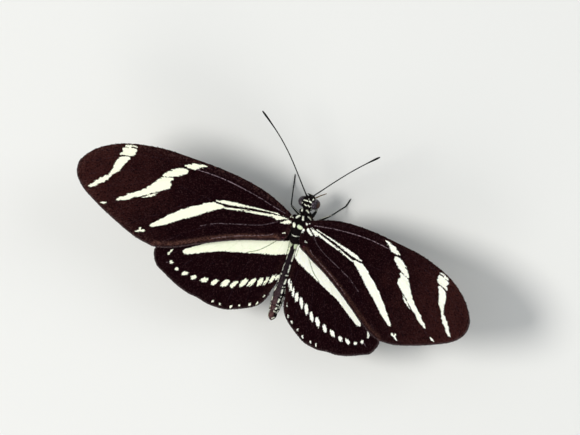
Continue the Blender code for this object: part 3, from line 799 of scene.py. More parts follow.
def scale_coat(name, side, face, plan, scales, finish):
    """One face's scales: each a short tile with a narrow root and a rounded tip."""
    beside = crosswise(scales.way)
    points, patches = [], []
    for far, wide, high in SCALE_SHAPE:
        along, across = far * SCALE_LENGTH * scales.size, wide * SCALE_WIDTH * scales.size
        uv = scales.roots + scales.way * along[:, None] + beside * across[:, None]
        height = scales.root_height * (1.0 - far) + scales.tip_height * far + high * scales.lift
        height += scales.lean * wide * 2.0 + SCALE_CLEARANCE
        points.append(wing_place(side, uv, scales.fold + face * height, plan))
        middle = scales.roots / BAKE_WIDTH + BAKE_MARGIN
        patches.append(middle + (scales.way * (far - 0.5) + beside * wide) * BAKE_PATCH)
    numbers = markings(scales.roots + scales.way * SCALE_SHOWS_AT, plan, side)
    numbers["pale"] += scales.ragged
    numbers["shade"] = scales.shade
    coat = make_blades(name, points, patches, face * side > 0, numbers, finish)


for plan in (forewing_plan, hindwing_plan):
    for place, face, pitch, finish in (
        ("upper", 1.0, ROW_PITCH_UPPER, upper_finish),
        ("under", -1.0, ROW_PITCH_UNDER, under_finish),
    ):
        scales = scale_plan(plan, pitch, plan.seed + int(face))
        for word, side in SIDES:
            scale_coat(f"{plan.kind}_scales_{place}_{word}", side, face, plan, scales, finish)

# Body. The head, thorax and abdomen are hard rounded plates that meet at a thin neck and a narrow
# waist, all one dark hide under the fur. The forms are grown together into a single skin.
AXIS_HEIGHT = -1.45
HEAD_CENTRE = (0.05, -2.15, -1.5)
HEAD_TURN = math.radians(6.0)
SKIN_GRAIN = 0.062
SKIN_ROUNDS = 5
SKIN_SHADE = 0.4
# Middle and radii of each form; one that lies off the middle line has a twin on the other side
HEAD_FORMS = (
    ((0.0, 0.0, 0.0), (1.5, 1.36, 1.42)), ((0.0, 0.95, -0.3), (0.72, 0.52, 0.85)),
    ((0.46, 1.17, 0.64), (0.25, 0.22, 0.25)), ((0.78, -0.15, 0.8), (0.5, 0.78, 0.5)),
    ((0.82, 0.9, 0.56), (0.3, 0.3, 0.3)), ((0.0, -1.0, 0.15), (1.0, 0.55, 0.95)),
    ((0.0, 0.65, -1.2), (0.5, 0.55, 0.42)),
)
TRUNK_FORMS = (
    ((0.0, -3.8, -1.45), (0.72, 0.9, 0.8)), ((0.0, -4.35, -1.5), (1.12, 0.6, 1.25)),
    ((0.56, -4.0, -0.75), (0.56, 0.42, 0.5)), ((0.0, -7.3, -1.45), (2.0, 2.85, 2.36)),
    ((0.72, -6.7, -0.1), (0.86, 1.85, 0.98)), ((0.0, -9.55, 0.15), (0.98, 0.62, 0.5)),
    ((0.0, -9.8, -1.45), (1.58, 1.35, 1.86)), ((1.0, -6.3, -2.65), (0.95, 1.2, 1.2)),
    ((1.0, -8.6, -2.55), (0.95, 1.2, 1.1)), ((0.72, -5.15, -2.75), (0.34, 0.42, 0.62)),
    ((0.85, -6.65, -3.45), (0.42, 0.62, 0.72)), ((0.85, -9.1, -3.25), (0.42, 0.6, 0.72)),
    ((1.42, -5.75, 0.08), (0.42, 0.68, 0.32)), ((1.62, -7.0, 0.33), (0.72, 1.2, 0.27)),
    ((1.55, -9.45, -0.68), (0.72, 0.85, 0.26)), ((0.0, -11.2, -1.45), (0.72, 0.75, 0.8)),
    ((0.0, -26.95, -1.55), (0.4, 0.35, 0.42)),
)
# Where the abdomen's rings start and end, and half its width along it. The rear edge of each ring
# stands proud of the next.
SEGMENT_JOINTS = (-11.45, -12.6, -15.0, -17.6, -20.2, -22.1, -24.0, -25.3, -26.85)
ABDOMEN_WIDTHS = (
    (-27.1, 0.46), (-26.0, 0.86), (-24.0, 1.14), (-21.5, 1.16), (-17.0, 0.92), (-13.0, 0.77), (-11.2, 0.66),
)
ABDOMEN_DEPTH = 1.12
SEGMENT_OVERLAP = 0.22
SEGMENT_FRONT = 0.93
SEGMENT_REAR = 1.03
SEGMENT_LENGTH = 0.72
SEGMENT_BEVEL = 0.1
# Pale marks of the head and thorax: two ends, half width, and how green (1) or grey (-1) they are
BODY_MARKS = (
    ((-0.78, -1.74, -0.3), (0.08, -1.64, -0.1), 0.125, 0.0),
    ((0.52, -1.54, -0.2), (1.08, -1.66, -0.3), 0.15, 0.0),
    ((-0.99, -2.36, -0.25), (-0.9, -2.42, -0.25), 0.14, 0.0),
    ((-0.26, -2.52, -0.1), (0.14, -2.66, -0.1), 0.135, 0.0),
    ((0.5, -2.48, -0.15), (0.82, -2.62, -0.25), 0.13, 0.0),
    ((1.1, -2.34, -0.35), (1.22, -2.42, -0.4), 0.1, -0.4),
    ((0.96, -1.02, -0.8), (1.02, -1.2, -0.66), 0.15, 0.0),
    ((-0.66, -25.75, -0.85), (-0.52, -26.45, -0.95), 0.13, -0.1),
    ((0.12, -1.28, -0.4), (0.18, -1.22, -0.46), 0.07, -0.3),
    ((1.15, -3.1, -0.9), (1.55, -2.95, -1.3), 0.13, 0.0),
    ((-1.15, -3.1, -0.9), (-1.5, -2.95, -1.3), 0.13, 0.0),
    ((-0.6, -3.62, -0.6), (-0.46, -3.98, -0.3), 0.17, 0.0),
    ((0.42, -3.58, -0.6), (0.84, -3.84, -0.55), 0.21, 0.0),
    ((-0.74, -5.45, 0.5), (-0.46, -4.98, 0.0), 0.21, 0.0),
    ((0.32, -4.98, -0.1), (0.74, -5.44, 0.55), 0.22, 0.0),
    ((0.9, -4.76, -1.08), (1.3, -5.26, -1.72), 0.25, 0.0),
    ((-0.98, -4.76, -1.12), (-1.34, -5.24, -1.75), 0.2, 0.0),
    ((-1.49, -5.85, 0.4), (-1.38, -6.05, 0.45), 0.13, 0.0),
    ((1.76, -5.95, 0.42), (1.88, -6.1, 0.45), 0.15, 0.0),
    ((-0.72, -6.78, 0.87), (-0.58, -7.18, 0.84), 0.31, 0.15),
    ((0.44, -6.95, 0.88), (0.86, -7.02, 0.8), 0.4, 0.6),
    ((1.78, -6.95, 0.58), (1.6, -7.46, 0.56), 0.25, 0.5),
    ((-1.8, -7.25, 0.55), (-1.66, -7.6, 0.55), 0.17, 0.3),
    ((-1.03, -8.96, 0.02), (-0.6, -9.1, 0.4), 0.075, -0.15),
    ((-0.6, -9.1, 0.4), (-0.05, -9.2, 0.56), 0.095, 0.0),
    ((-0.05, -9.2, 0.56), (0.45, -9.08, 0.45), 0.095, 0.0),
    ((0.45, -9.08, 0.45), (0.91, -8.91, 0.16), 0.075, -0.15),
    ((0.96, -9.61, 0.13), (1.05, -9.42, -0.15), 0.11, -0.8),
    ((0.55, -11.0, -0.5), (0.6, -11.55, -0.9), 0.42, 0.6),
    ((-0.6, -11.05, -0.7), (-0.7, -11.5, -1.0), 0.26, 0.8),
)
# Pale marks that both sides have alike, of the thorax and then of the abdomen
PAIRED_MARKS = (
    ((1.72, -6.35, -0.75), (1.76, -6.95, -1.25), 0.3, 0.15),
    ((1.45, -7.35, -2.3), (1.35, -7.85, -2.75), 0.27, 0.15),
    ((1.55, -9.35, -1.55), (1.4, -10.0, -1.95), 0.28, 0.15),
    ((1.05, -5.7, -2.9), (1.1, -6.05, -3.2), 0.2, 0.1),
    ((0.58, -12.1, -0.95), (0.63, -14.4, -0.85), 0.15, 0.0),
    ((0.61, -15.35, -0.8), (0.66, -16.75, -0.74), 0.14, 0.0),
    ((0.43, -17.5, -0.49), (0.86, -17.42, -0.96), 0.07, 0.0),
    ((0.76, -18.35, -0.7), (0.74, -19.2, -0.63), 0.2, 0.0),
    ((0.6, -19.95, -0.4), (0.94, -19.86, -0.83), 0.06, -0.15),
    ((0.75, -20.58, -0.6), (0.8, -21.06, -0.5), 0.21, 0.0),
    ((0.75, -21.9, -0.45), (0.99, -21.88, -0.76), 0.055, -0.2),
    ((0.77, -22.58, -0.55), (0.73, -23.1, -0.43), 0.2, 0.0),
    ((0.6, -23.76, -0.35), (0.93, -23.8, -0.67), 0.08, 0.0),
    ((0.77, -24.42, -0.62), (0.64, -24.64, -0.48), 0.17, 0.0),
    ((0.43, -25.2, -0.46), (0.83, -25.3, -1.02), 0.095, 0.0),
    ((0.38, -26.74, -0.85), (0.68, -26.48, -1.0), 0.15, 0.0),
    ((0.8, -12.3, -1.75), (0.86, -14.6, -1.75), 0.08, -0.3),
    ((0.86, -15.2, -1.7), (0.93, -16.9, -1.7), 0.08, -0.2),
    ((0.94, -17.9, -1.35), (0.98, -19.2, -1.27), 0.12, -0.4),
    ((1.08, -20.1, -1.25), (1.12, -21.1, -1.25), 0.13, -0.35),
    ((1.1, -21.9, -1.25), (1.14, -22.9, -1.28), 0.13, -0.25),
    ((1.13, -23.5, -1.2), (1.05, -24.4, -1.2), 0.13, -0.1),
    ((0.98, -24.9, -1.18), (0.9, -25.5, -1.18), 0.12, 0.0),
    ((0.3, -12.2, -2.25), (0.42, -24.6, -2.55), 0.17, 0.9),
)
# The grey-brown line along the top of the abdomen, from its middle line to its edge
STRIPE_HALF_WIDTH = 0.62
STRIPE_EDGE = 0.14
STRIPE_FADE = 0.8
STRIPE_WIDTHS = (0.7, 2.0)
STRIPE_ROUND = 1.05
# Where the abdomen begins, the angle from the top at which its underside does, and where it gets
# lighter towards the tail. The rear edges of its rings are darker.
ABDOMEN_FROM = -11.3
UNDER_FROM = 1.9
UNDER_FADE = 0.5
TAIL_FROM = -11.5
TAIL_LENGTH = 15.0
JOINT_LEAD = 0.05
JOINT_WIDTH = 0.16


def turned(points):
    """Points of the head's own frame, turned with the head on its neck."""
    c, s = math.cos(HEAD_TURN), math.sin(HEAD_TURN)
    return np.asarray(points, float) @ ((c, s, 0.0), (-s, c, 0.0), (0.0, 0.0, 1.0)) + HEAD_CENTRE


def add_form(middle, radii, turn=0.0):
    """One rounded form, added as a ball of the right size at its place."""
    bpy.ops.mesh.primitive_uv_sphere_add(
        segments=36, ring_count=24, radius=1.0, location=tuple(middle), rotation=(0.0, 0.0, turn), scale=radii
    )
    return bpy.context.object


def abdomen_width(y):
    """Half the width of the abdomen at these places along it."""
    return np.interp(y, *zip(*ABDOMEN_WIDTHS))


def shape_with(thing, kind, **settings):
    """Adds a modifier with these settings and applies it."""
    made = thing.modifiers.new("shaping", kind)
    for word, value in settings.items():
        setattr(made, word, value)
    bpy.ops.object.modifier_apply(modifier="shaping")


bpy.ops.object.select_all(action="DESELECT")
forms = []
for table, place, turn in ((HEAD_FORMS, turned, HEAD_TURN), (TRUNK_FORMS, tuple, 0.0)):
    for (x, y, z), radii in table:
        for side in ((1.0, -1.0) if x else (1.0,)):
            forms.append(add_form(place((side * x, y, z)), radii, turn))
for front, rear in zip(SEGMENT_JOINTS, SEGMENT_JOINTS[1:]):
    start, middle = front + SEGMENT_OVERLAP, (front + rear) / 2.0
    bpy.ops.mesh.primitive_cone_add(
        vertices=48,
        radius1=abdomen_width(start) * SEGMENT_FRONT,
        radius2=abdomen_width(rear) * SEGMENT_REAR,
        depth=start - rear,
        location=(0.0, (start + rear) / 2.0, AXIS_HEIGHT),
        rotation=(math.pi / 2.0, 0.0, 0.0),
        scale=(1.0, ABDOMEN_DEPTH, 1.0),
    )
    forms.append(bpy.context.object)
    shape_with(forms[-1], "BEVEL", width=SEGMENT_BEVEL, segments=3)
    wide = abdomen_width(middle) * SEGMENT_REAR
    radii = (wide, (front - rear) * SEGMENT_LENGTH, wide * ABDOMEN_DEPTH)
    forms.append(add_form((0.0, middle, AXIS_HEIGHT), radii))
for form in forms:
    form.select_set(True)
bpy.context.view_layer.objects.active = forms[0]
bpy.ops.object.join()
skin = bpy.context.object
skin.name = "body_skin"
bpy.ops.object.transform_apply(location=True, rotation=True, scale=True)
shape_with(skin, "REMESH", mode="VOXEL", voxel_size=SKIN_GRAIN)
shape_with(skin, "SMOOTH", factor=0.5, iterations=SKIN_ROUNDS)
bpy.ops.object.shade_smooth()


def places_of(mesh):
    """The corners of a mesh."""
    flat = np.empty(len(mesh.vertices) * 3)
    mesh.vertices.foreach_get("co", flat)
    return flat.reshape(-1, 3)


def snapped(marks, net):
    """The same marks with both ends set on the skin."""
    return [[np.array(net.find_nearest(end)[0]) for end in mark[:2]] + list(mark[2:]) for mark in marks]


def mark_depth(points):
    """How deep each point lies inside the nearest pale mark, and that mark's tint."""
    depth, tint = np.full(len(points), -9.0), np.zeros(len(points))
    for start, end, half_width, green in body_marks:
        along = end - start
        t = np.clip((points - start) @ along / (along @ along), 0.0, 1.0)
        inside = half_width - np.linalg.norm(points - start - t[:, None] * along, axis=1)
        tint = np.where(inside > depth, green, tint)
        depth = np.maximum(depth, inside)
    return depth, tint


def body_numbers(points):
    """The body's markings at these places, as named numbers."""
    depth, tint = mark_depth(points)
    y = points[:, 1]
    around = np.arctan2(np.abs(points[:, 0]), points[:, 2] - AXIS_HEIGHT)
    from_middle = around * np.clip(abdomen_width(y), *STRIPE_WIDTHS) / STRIPE_ROUND
    to_joint = np.abs(y[:, None] - SEGMENT_JOINTS[1:-1] - JOINT_LEAD).min(1)
    on_abdomen = np.clip((ABDOMEN_FROM - y) / STRIPE_FADE, 0.0, 1.0)
    return {
        "pale": depth,
        "tint": tint,
        "stripe": on_abdomen * np.clip((STRIPE_HALF_WIDTH - from_middle) / STRIPE_EDGE, 0.0, 1.0),
        "under": np.clip((around - UNDER_FROM) / UNDER_FADE, 0.0, 1.0),
        "tail": np.clip((TAIL_FROM - y) / TAIL_LENGTH, 0.0, 1.0),
        "joint": np.clip(1.0 - to_joint / JOINT_WIDTH, 0.0, 1.0),
    }


corners = places_of(skin.data)
quads = np.array([polygon.vertices[:] for polygon in skin.data.polygons])
skin_net = BVHTree.FromPolygons(corners.tolist(), quads.tolist())
body_marks = snapped(BODY_MARKS, skin_net)
for flip in (1.0, -1.0):
    for (x1, y1, z1), (x2, y2, z2), *rest in PAIRED_MARKS:
        body_marks += snapped([((flip * x1, y1, z1), (flip * x2, y2, z2), *rest)], skin_net)
put_numbers(skin.data, {**body_numbers(corners), "shade": np.full(len(corners), SKIN_SHADE)})
put_places(skin.data, set_down(corners))
skin.data.update()

# Black-brown fur and scales with cream marks, and a grey-brown line along the abdomen
look = Finish("body_scales")
stripe = look.coats(
    (0.012, 0.007, 0.010),
    (look.ramp("tail", 0.32, 0.85), (0.066, 0.041, 0.046)),
    (look.ramp("tail", 0.6, 1.0), (0.105, 0.048, 0.045)),
    (look.clouds(0.35, 0.4, 0.75), (0.018, 0.010, 0.012)),
    (look.ramp("shade", 0.8, 1.0), look.ramp("tail", 0.0, 0.9), (0.14, 0.11, 0.12)),
    ("joint", 0.8, (0.010, 0.006, 0.007)),
)
ground = look.coats(
    (0.0038, 0.0020, 0.0027),
    (look.ramp("shade", 0.25, 1.0), (0.0105, 0.0058, 0.0062)),
    ("under", (0.060, 0.040, 0.028)),
    ("stripe", stripe),
)
cream = look.coats(
    (0.96, 0.97, 0.82),
    (look.ramp("tint", 0.0, 1.0), (0.66, 0.80, 0.50)),
    (look.ramp("tint", 0.0, -1.0), (0.34, 0.29, 0.33)),
    (look.ramp("shade", 0.4, 0.0), 0.6, (0.72, 0.75, 0.54)),
)
body_finish = look.close(look.noise(0.09), 0.5, 0.05, {
    "Base Color": look.coats(ground, (look.ramp("pale", -MARK_EDGE, MARK_EDGE), cream)),
    "Roughness": 0.62, "Specular IOR Level": 0.04, "Sheen Weight": 0.008, "Sheen Roughness": 0.4,
})
skin.data.materials.clear()
skin.data.materials.append(body_finish)
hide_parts("head", "thorax", "abdomen")
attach(skin, "root")

# Fur and scales of the body. Fine hairs lie back over the head and thorax and stand a little
# off them, and broad flat scales lie like roof tiles round the rings of the abdomen.
TUFT_SHOWS_AT = 0.36
TUFT_TURN = 0.13
TUFT_LENGTH_SPREAD = 0.15
TUFT_LIFT_SPREAD = (0.5, 1.4)
TUFT_SCATTER = 0.02
PALE_SPREAD = 0.02
BODY_LENGTH = 28.0
BAKE_SPAN = 0.94
# The corners of a hair and of a tile, as shares of its length, width and lift
HAIR_SHAPE = ((0.0, -0.35, -0.1), (0.0, 0.35, -0.1), (0.45, -0.5, 0.55), (0.45, 0.5, 0.55), (1.0, 0.0, 1.0))
TILE_SHAPE = (
    (0.0, -0.25, -0.1), (0.0, 0.25, -0.1), (0.45, -0.5, 0.7), (0.45, 0.5, 0.7), (1.0, -0.34, 1.0),
    (1.0, 0.34, 1.0),
)
# A tuft on a pale mark is a short flat scale: its shares of the usual length, width and lift
PALE_TUFT = (0.62, 1.7, 0.6)
PALE_TILE = (0.9, 1.1, 1.0)
# tufts a square millimetre, length, width, lift at the tip, least and greatest y
FUR_KINDS = {
    "head_fur": (165.0, 0.22, 0.050, 0.34, -3.75, 1.0, HAIR_SHAPE, PALE_TUFT),
    "thorax_fur": (135.0, 0.38, 0.056, 0.17, ABDOMEN_FROM, -3.75, HAIR_SHAPE, PALE_TUFT),
    "abdomen_scales": (92.0, 0.24, 0.105, 0.10, -30.0, ABDOMEN_FROM, TILE_SHAPE, PALE_TILE),
}
# The head's hairs point back and up, and turn forward and down over the face
HAIR_BACK = (-1.0, 0.4)
HAIR_TURNS_BY = (1.6, -1.0)
FACE_FROM = -2.0
FACE_FADE = 0.8
# The thorax's hairs spread to its sides, and point out and up by the wings' hinges, which lie this
# far from its middle line, above one height and behind one place
HINGE_FROM = 1.15
HINGE_FADE = 0.5
HINGE_ABOVE = -0.9
HINGE_BEHIND = -5.9
HINGE_OUT = 1.6
HINGE_UP = 0.4
THORAX_OUT = 0.18


def laid(ways, normals):
    """Ways turned to lie flat on the skin."""
    return unit(ways - normals * (ways * normals).sum(-1, keepdims=True))


def fur_coat(name, roots, normals, ways, sizes, numbers, places, finish, shape):
    """Tufts as one piece: each a narrow bent blade from a thin root to a narrower tip."""
    lengths, widths, lifts = sizes
    beside = np.cross(normals, ways)
    points, patches = [], []
    for far, wide, high in shape:
        along, across, up = far * lengths, wide * widths, high * lifts * lengths
        blade = roots + ways * along[:, None] + beside * across[:, None] + normals * up[:, None]
        points.append(set_down(blade))
        patches.append(places + np.array((wide, far - 0.5)) * BAKE_PATCH)
    return make_blades(name, points, patches, True, numbers, finish)


middles = corners[quads].mean(1)
outward = np.cross(corners[quads[:, 2]] - corners[quads[:, 0]], corners[quads[:, 3]] - corners[quads[:, 1]])
areas = np.linalg.norm(outward, axis=1) / 2.0
outward = unit(outward)
chance = np.random.default_rng(7)
for name, (density, length, width, lift, low, high, shape, on_mark) in FUR_KINDS.items():
    here = (middles[:, 1] >= low) & (middles[:, 1] < high)
    chosen = np.flatnonzero(here & (chance.uniform(0.0, 1.0, len(middles)) < areas * density))
    count = len(chosen)
    roots, normals = middles[chosen] + chance.normal(0.0, TUFT_SCATTER, (count, 3)), outward[chosen]
    way = np.tile((0.0, -1.0, 0.0), (count, 1))
    if name == "head_fur":
        # The hairs of the face lie forward and down
        forward = np.clip((roots[:, 1] - FACE_FROM) / FACE_FADE, 0.0, 1.0)
        way[:, 1:] = HAIR_BACK + forward[:, None] * HAIR_TURNS_BY
    if name == "thorax_fur":
        # Those by the wings' hinges point out over them
        by_wing = np.clip((np.abs(roots[:, 0]) - HINGE_FROM) / HINGE_FADE, 0.0, 1.0)
        by_wing *= (roots[:, 2] > HINGE_ABOVE) & (roots[:, 1] < HINGE_BEHIND)
        way[:, 0] = roots[:, 0] * THORAX_OUT + np.sign(roots[:, 0]) * by_wing * HINGE_OUT
        way[:, 2] = by_wing * HINGE_UP
    way = laid(way + chance.normal(0.0, TUFT_TURN, (count, 3)), normals)
    # A tuft takes the mark that its own middle lies over
    lengths = length * chance.normal(1.0, TUFT_LENGTH_SPREAD, count)
    numbers = body_numbers(roots + way * (TUFT_SHOWS_AT * lengths)[:, None])
    numbers["pale"] += chance.normal(0.0, PALE_SPREAD, count)
    numbers["shade"] = chance.uniform(0.0, 1.0, count)
    shorter, wider, flatter = np.where(numbers["pale"] > 0.0, np.array(on_mark)[:, None], 1.0)
    lifts = lift * chance.uniform(*TUFT_LIFT_SPREAD, count) * flatter
    # Its patch to bake lies where it is round and along the body
    around = np.arctan2(roots[:, 0], roots[:, 2] - AXIS_HEIGHT) / (2.0 * math.pi) + 0.5
    places = BAKE_MARGIN + BAKE_SPAN * np.stack((around, (roots[:, 1] + BODY_LENGTH) / BODY_LENGTH), 1)
    sizes = (lengths * shorter, width * wider, lifts)
    coat = fur_coat(name, roots, normals, way, sizes, numbers, places, body_finish, shape)

# Eyes. Two bulging compound eyes, black-brown with a painted lilac sheen in rows and a faint brown
# rim of painted light at the outer side. Each is a smooth dome of thousands of six-sided lenses,
# set into the side of the head.
EYE_RADII = (1.06, 1.09, 1.27)
EYE_OUT = 1.27
EYE_RIM = 0.80
EYE_ROW_SLANT = 0.25
EYE_ROWS = 15.0
LENS_PITCH = 0.05

look = Finish("eye_lenses")
# Painted sheen: lilac rows of painted highlight, kept off the eye's outer side
rows = look.node("Math", {0: look.product("turn", EYE_ROWS)}, operation="SINE")
painted_sheen = look.product(look.ramp(rows, -0.3, 0.95), look.clouds(0.42, 0.44, 0.62), look.ramp("rim", 0.0, 0.30))
colour = look.coats(
    (0.009, 0.0045, 0.0060),
    (look.clouds(0.9, 0.35, 0.7), (0.020, 0.0115, 0.0155)),
    (painted_sheen, 0.85, (0.19, 0.15, 0.20)),
    # Painted rim light: a faint brown glow painted at the eye's outer side
    (look.ramp("rim", 0.10, -0.12), (0.052, 0.018, 0.010)),
)
places = look.node("TexCoord", output="Object")
lenses = look.node("TexVoronoi", {"Vector": places, "Scale": 1.0 / (LENS_PITCH * MILLIMETRE)}, feature="F1")
eye_finish = look.close(look.product(lenses, -1.0), 0.35, 0.02, {
    "Base Color": colour, "Roughness": 0.36, "Specular IOR Level": 0.22, "Coat Weight": 0.12,
    "Coat Roughness": 0.15,
})

for word, side in SIDES:
    bpy.ops.object.select_all(action="DESELECT")
    eye = add_form(turned((side * EYE_OUT, 0.0, 0.0)), EYE_RADII, HEAD_TURN)
    eye.name = "eye_lenses_" + word
    shape_with(eye, "SUBSURF", levels=1, render_levels=1)
    ball = places_of(eye.data)
    bpy.ops.object.transform_apply(location=True, rotation=True, scale=True)
    bpy.ops.object.shade_smooth()
    put_places(eye.data, set_down(places_of(eye.data)))
    # The rim number falls to nothing at the eye's outer side, and the rows run round that side
    outward = side * ball[:, 0]
    put_numbers(eye.data, {"rim": EYE_RIM - outward, "turn": outward + EYE_ROW_SLANT * ball[:, 1]})
    eye.data.materials.append(eye_finish)
    eye.data.update()
    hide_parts("eye_" + word)
    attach(eye, "root")

# Antennae. Each is a thin rod of short hard segments on two thicker ones at the head, and swells
# towards its end into a slim club.
ANTENNA_BASE = (0.78, 1.62, 0.72)
# side, tip, and how far the rod bows to each side of a straight line
ANTENNAE = (
    ("left", -1.0, (-13.5, 12.75, 4.0), (0.75, 0.5, 0.0)),
    ("right", 1.0, (13.55, 13.15, 4.0), (-0.2, 0.3, 0.0)),
)
ANTENNA_START = -0.035
ANTENNA_SEGMENTS = 47
ANTENNA_SIDES = 12
# The rings of one segment: how far along it, share of the radius, and 1 where it is at a joint
SEGMENT_RINGS = ((0.02, 0.90, 1.0), (0.16, 1.0, 0.0), (0.84, 1.0, 0.0), (0.98, 0.92, 1.0))
# share of the way from the head, and radius there
ANTENNA_RADII = (
    (-0.035, 0.2), (-0.012, 0.19), (-0.008, 0.16), (0.01, 0.15), (0.018, 0.13), (0.4, 0.115), (0.75, 0.115),
    (0.83, 0.14), (0.9, 0.195), (0.95, 0.215), (0.98, 0.18), (1.0, 0.1),
)


def on_rings(values, sides):
    """What each ring of a tube has, for its corners, and then for the middles of its two ends."""
    return np.concatenate((np.repeat(values, sides, 0), values[:1], values[-1:]))


def tube(path, radii, sides):
    """Corners, walls and end faces of a closed tube along a path, with no twist."""
    path = np.asarray(path, float)
    along = unit(np.gradient(path, axis=0))
    across = np.cross(along[0], (0.0, 0.0, 1.0))
    if np.linalg.norm(across) < 0.1:
        across = np.cross(along[0], (1.0, 0.0, 0.0))
    angle = np.linspace(0.0, 2.0 * math.pi, sides, endpoint=False)[:, None]
    rings = []
    for point, way, radius in zip(path, along, radii):
        across = laid(across, way)
        rings.append(point + radius * (np.cos(angle) * across + np.sin(angle) * np.cross(way, across)))
    points = np.vstack((*rings, path[:1], path[-1:]))
    ring = np.arange(sides)
    follow = np.roll(ring, -1)
    starts = (np.arange(len(path) - 1) * sides)[:, None]
    walls = np.stack((starts + ring, starts + follow, starts + follow + sides, starts + ring + sides), -1)
    last = (len(path) - 1) * sides
    first_cap = np.stack((follow, ring, np.full(sides, len(points) - 2)), 1)
    last_cap = np.stack((last + ring, last + follow, np.full(sides, len(points) - 1)), 1)
    return points, walls.reshape(-1, 4), np.vstack((first_cap, last_cap))


def join_tubes(name, tubes, numbers, finish):
    """Several tubes as one piece."""
    base = np.cumsum([0] + [len(points) for points, _, _ in tubes])
    faces = [np.vstack([part[kind] + start for part, start in zip(tubes, base)]) for kind in (1, 2)]
    points = set_down(np.vstack([part[0] for part in tubes]))
    return make_piece(name, points, faces, numbers, (finish,))


def horn_finish_of(name, dark, light, roughness, gloss):
    """Thin hard skin with fine scales, a little lighter in clouds and at the joints."""
    look = Finish(name)
    colour = look.coats(
        dark,
        (look.clouds(0.5, 0.4, 0.7), light),
        (look.ramp("shade", 0.6, 1.0), light),
        ("joint", 0.6, light),
        (look.ramp("pale", 0.0, 0.03), (0.90, 0.91, 0.78)),
    )
    values = {"Base Color": colour, "Roughness": roughness, "Specular IOR Level": gloss}
    return look.close(look.noise(0.05), 0.4, 0.02, values)


antenna_finish = horn_finish_of(
    "antenna_cuticle", (0.0045, 0.0040, 0.0040), (0.011, 0.011, 0.010), 0.45, 0.10
)
for word, side, tip, bow in ANTENNAE:
    base = turned((side * ANTENNA_BASE[0], *ANTENNA_BASE[1:]))
    part, thin, at_joint = np.tile(np.transpose(SEGMENT_RINGS), ANTENNA_SEGMENTS)
    segment = np.repeat(np.arange(ANTENNA_SEGMENTS), len(SEGMENT_RINGS))
    t = ANTENNA_START + (1.0 - ANTENNA_START) * (segment + part) / ANTENNA_SEGMENTS
    bent = np.sin(math.pi * np.clip(t, 0.0, 1.0) ** 1.2)[:, None] * bow
    path = base + (tip - base) * t[:, None] + bent
    shaft = tube(path, np.interp(t, *zip(*ANTENNA_RADII)) * thin, ANTENNA_SIDES)
    numbers = {"joint": np.append(np.repeat(at_joint, ANTENNA_SIDES), (0.0, 0.0))}
    antenna = join_tubes("antenna_shaft_" + word, [shaft], numbers, antenna_finish)
    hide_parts("antenna_" + word)

# Palps and tongue. Two furry palps curl up in front of the face, and the tongue, a yellow-brown
# ringed tube, reaches down between the front feet.
PALP_PATHS = {
    "left": ((-0.30, 1.00, -1.3), (-0.37, 1.44, -0.85), (-0.40, 1.64, -0.15), (-0.46, 1.86, 0.66)),
    "right": ((0.30, 1.00, -1.3), (0.24, 1.38, -0.90), (0.04, 1.50, -0.25), (-0.20, 1.62, 0.38)),
}
PALP_RADII = (0.16, 0.155, 0.11, 0.045)
PALP_SIDES = 16
# A pale line runs along each palp on the side that faces this way
PALP_LINE_WAY = (0.0, 0.80, -0.60)
PALP_LINE_FROM = 0.86
PALP_TUFTS = 900
TONGUE_PATH = (
    (0.02, -1.35, -2.65), (0.18, -1.22, -3.15), (0.36, -1.0, -3.9), (0.66, -0.57, -4.8), (0.95, -0.3, -5.5),
    (1.11, -0.08, -6.2),
)
TONGUE_RING = 0.11
TONGUE_SIDES = 14
# Radius at the root of the tongue, where its base ends, and at its tip
TONGUE_RADII = (0.19, 0.16, 0.085)
TONGUE_BASE = 0.4
LOWEST_TUFT = -7.96


def tube_coat(name, tubes, sides, pales, tufts, length, width, lift, finish, chance):
    """Short scales over tubes with this many sides, each pointing on along its tube."""
    kept = []
    for number, ((points, walls, _), pale) in enumerate(zip(tubes, pales)):
        first, second, third, fourth = points[walls].transpose(1, 0, 2)
        along = fourth - first + third - second
        outward = np.cross(second - first, along)
        ring, spoke = np.divmod(np.arange(len(walls)), sides)
        place = ((number + 0.1 + 0.8 * spoke / sides) / len(tubes), 0.05 + 0.9 * ring * sides / len(walls))
        area = np.linalg.norm(outward, axis=1)
        middle = points[walls].mean(1)
        kept.append((middle, unit(outward), unit(along), area, pale[walls].mean(1), np.stack(place, 1)))
    middle, outward, along, area, pale, place = (np.concatenate(part) for part in zip(*kept))
    pick = chance.choice(len(area), tufts, p=area / area.sum())
    roots = middle[pick] + chance.normal(0.0, 0.012, (tufts, 3))
    way = laid(along[pick] + chance.normal(0.0, 0.12, (tufts, 3)), outward[pick])
    shade = chance.uniform(0.0, 1.0, tufts)
    lengths = length * chance.normal(1.0, TUFT_LENGTH_SPREAD, tufts)
    lifts = lift * chance.uniform(*TUFT_LIFT_SPREAD, tufts)
    # None may reach under the feet
    tips = roots + way * lengths[:, None] + outward[pick] * (lifts * lengths)[:, None]
    clear = np.minimum(tips[:, 2], roots[:, 2]) > LOWEST_TUFT
    pick = pick[clear]
    sizes = (lengths[clear], np.full(len(pick), width), lifts[clear])
    numbers = {"pale": pale[pick], "shade": shade[clear]}
    return fur_coat(
        name, roots[clear], outward[pick], way[clear], sizes, numbers, place[pick], finish, HAIR_SHAPE
    )


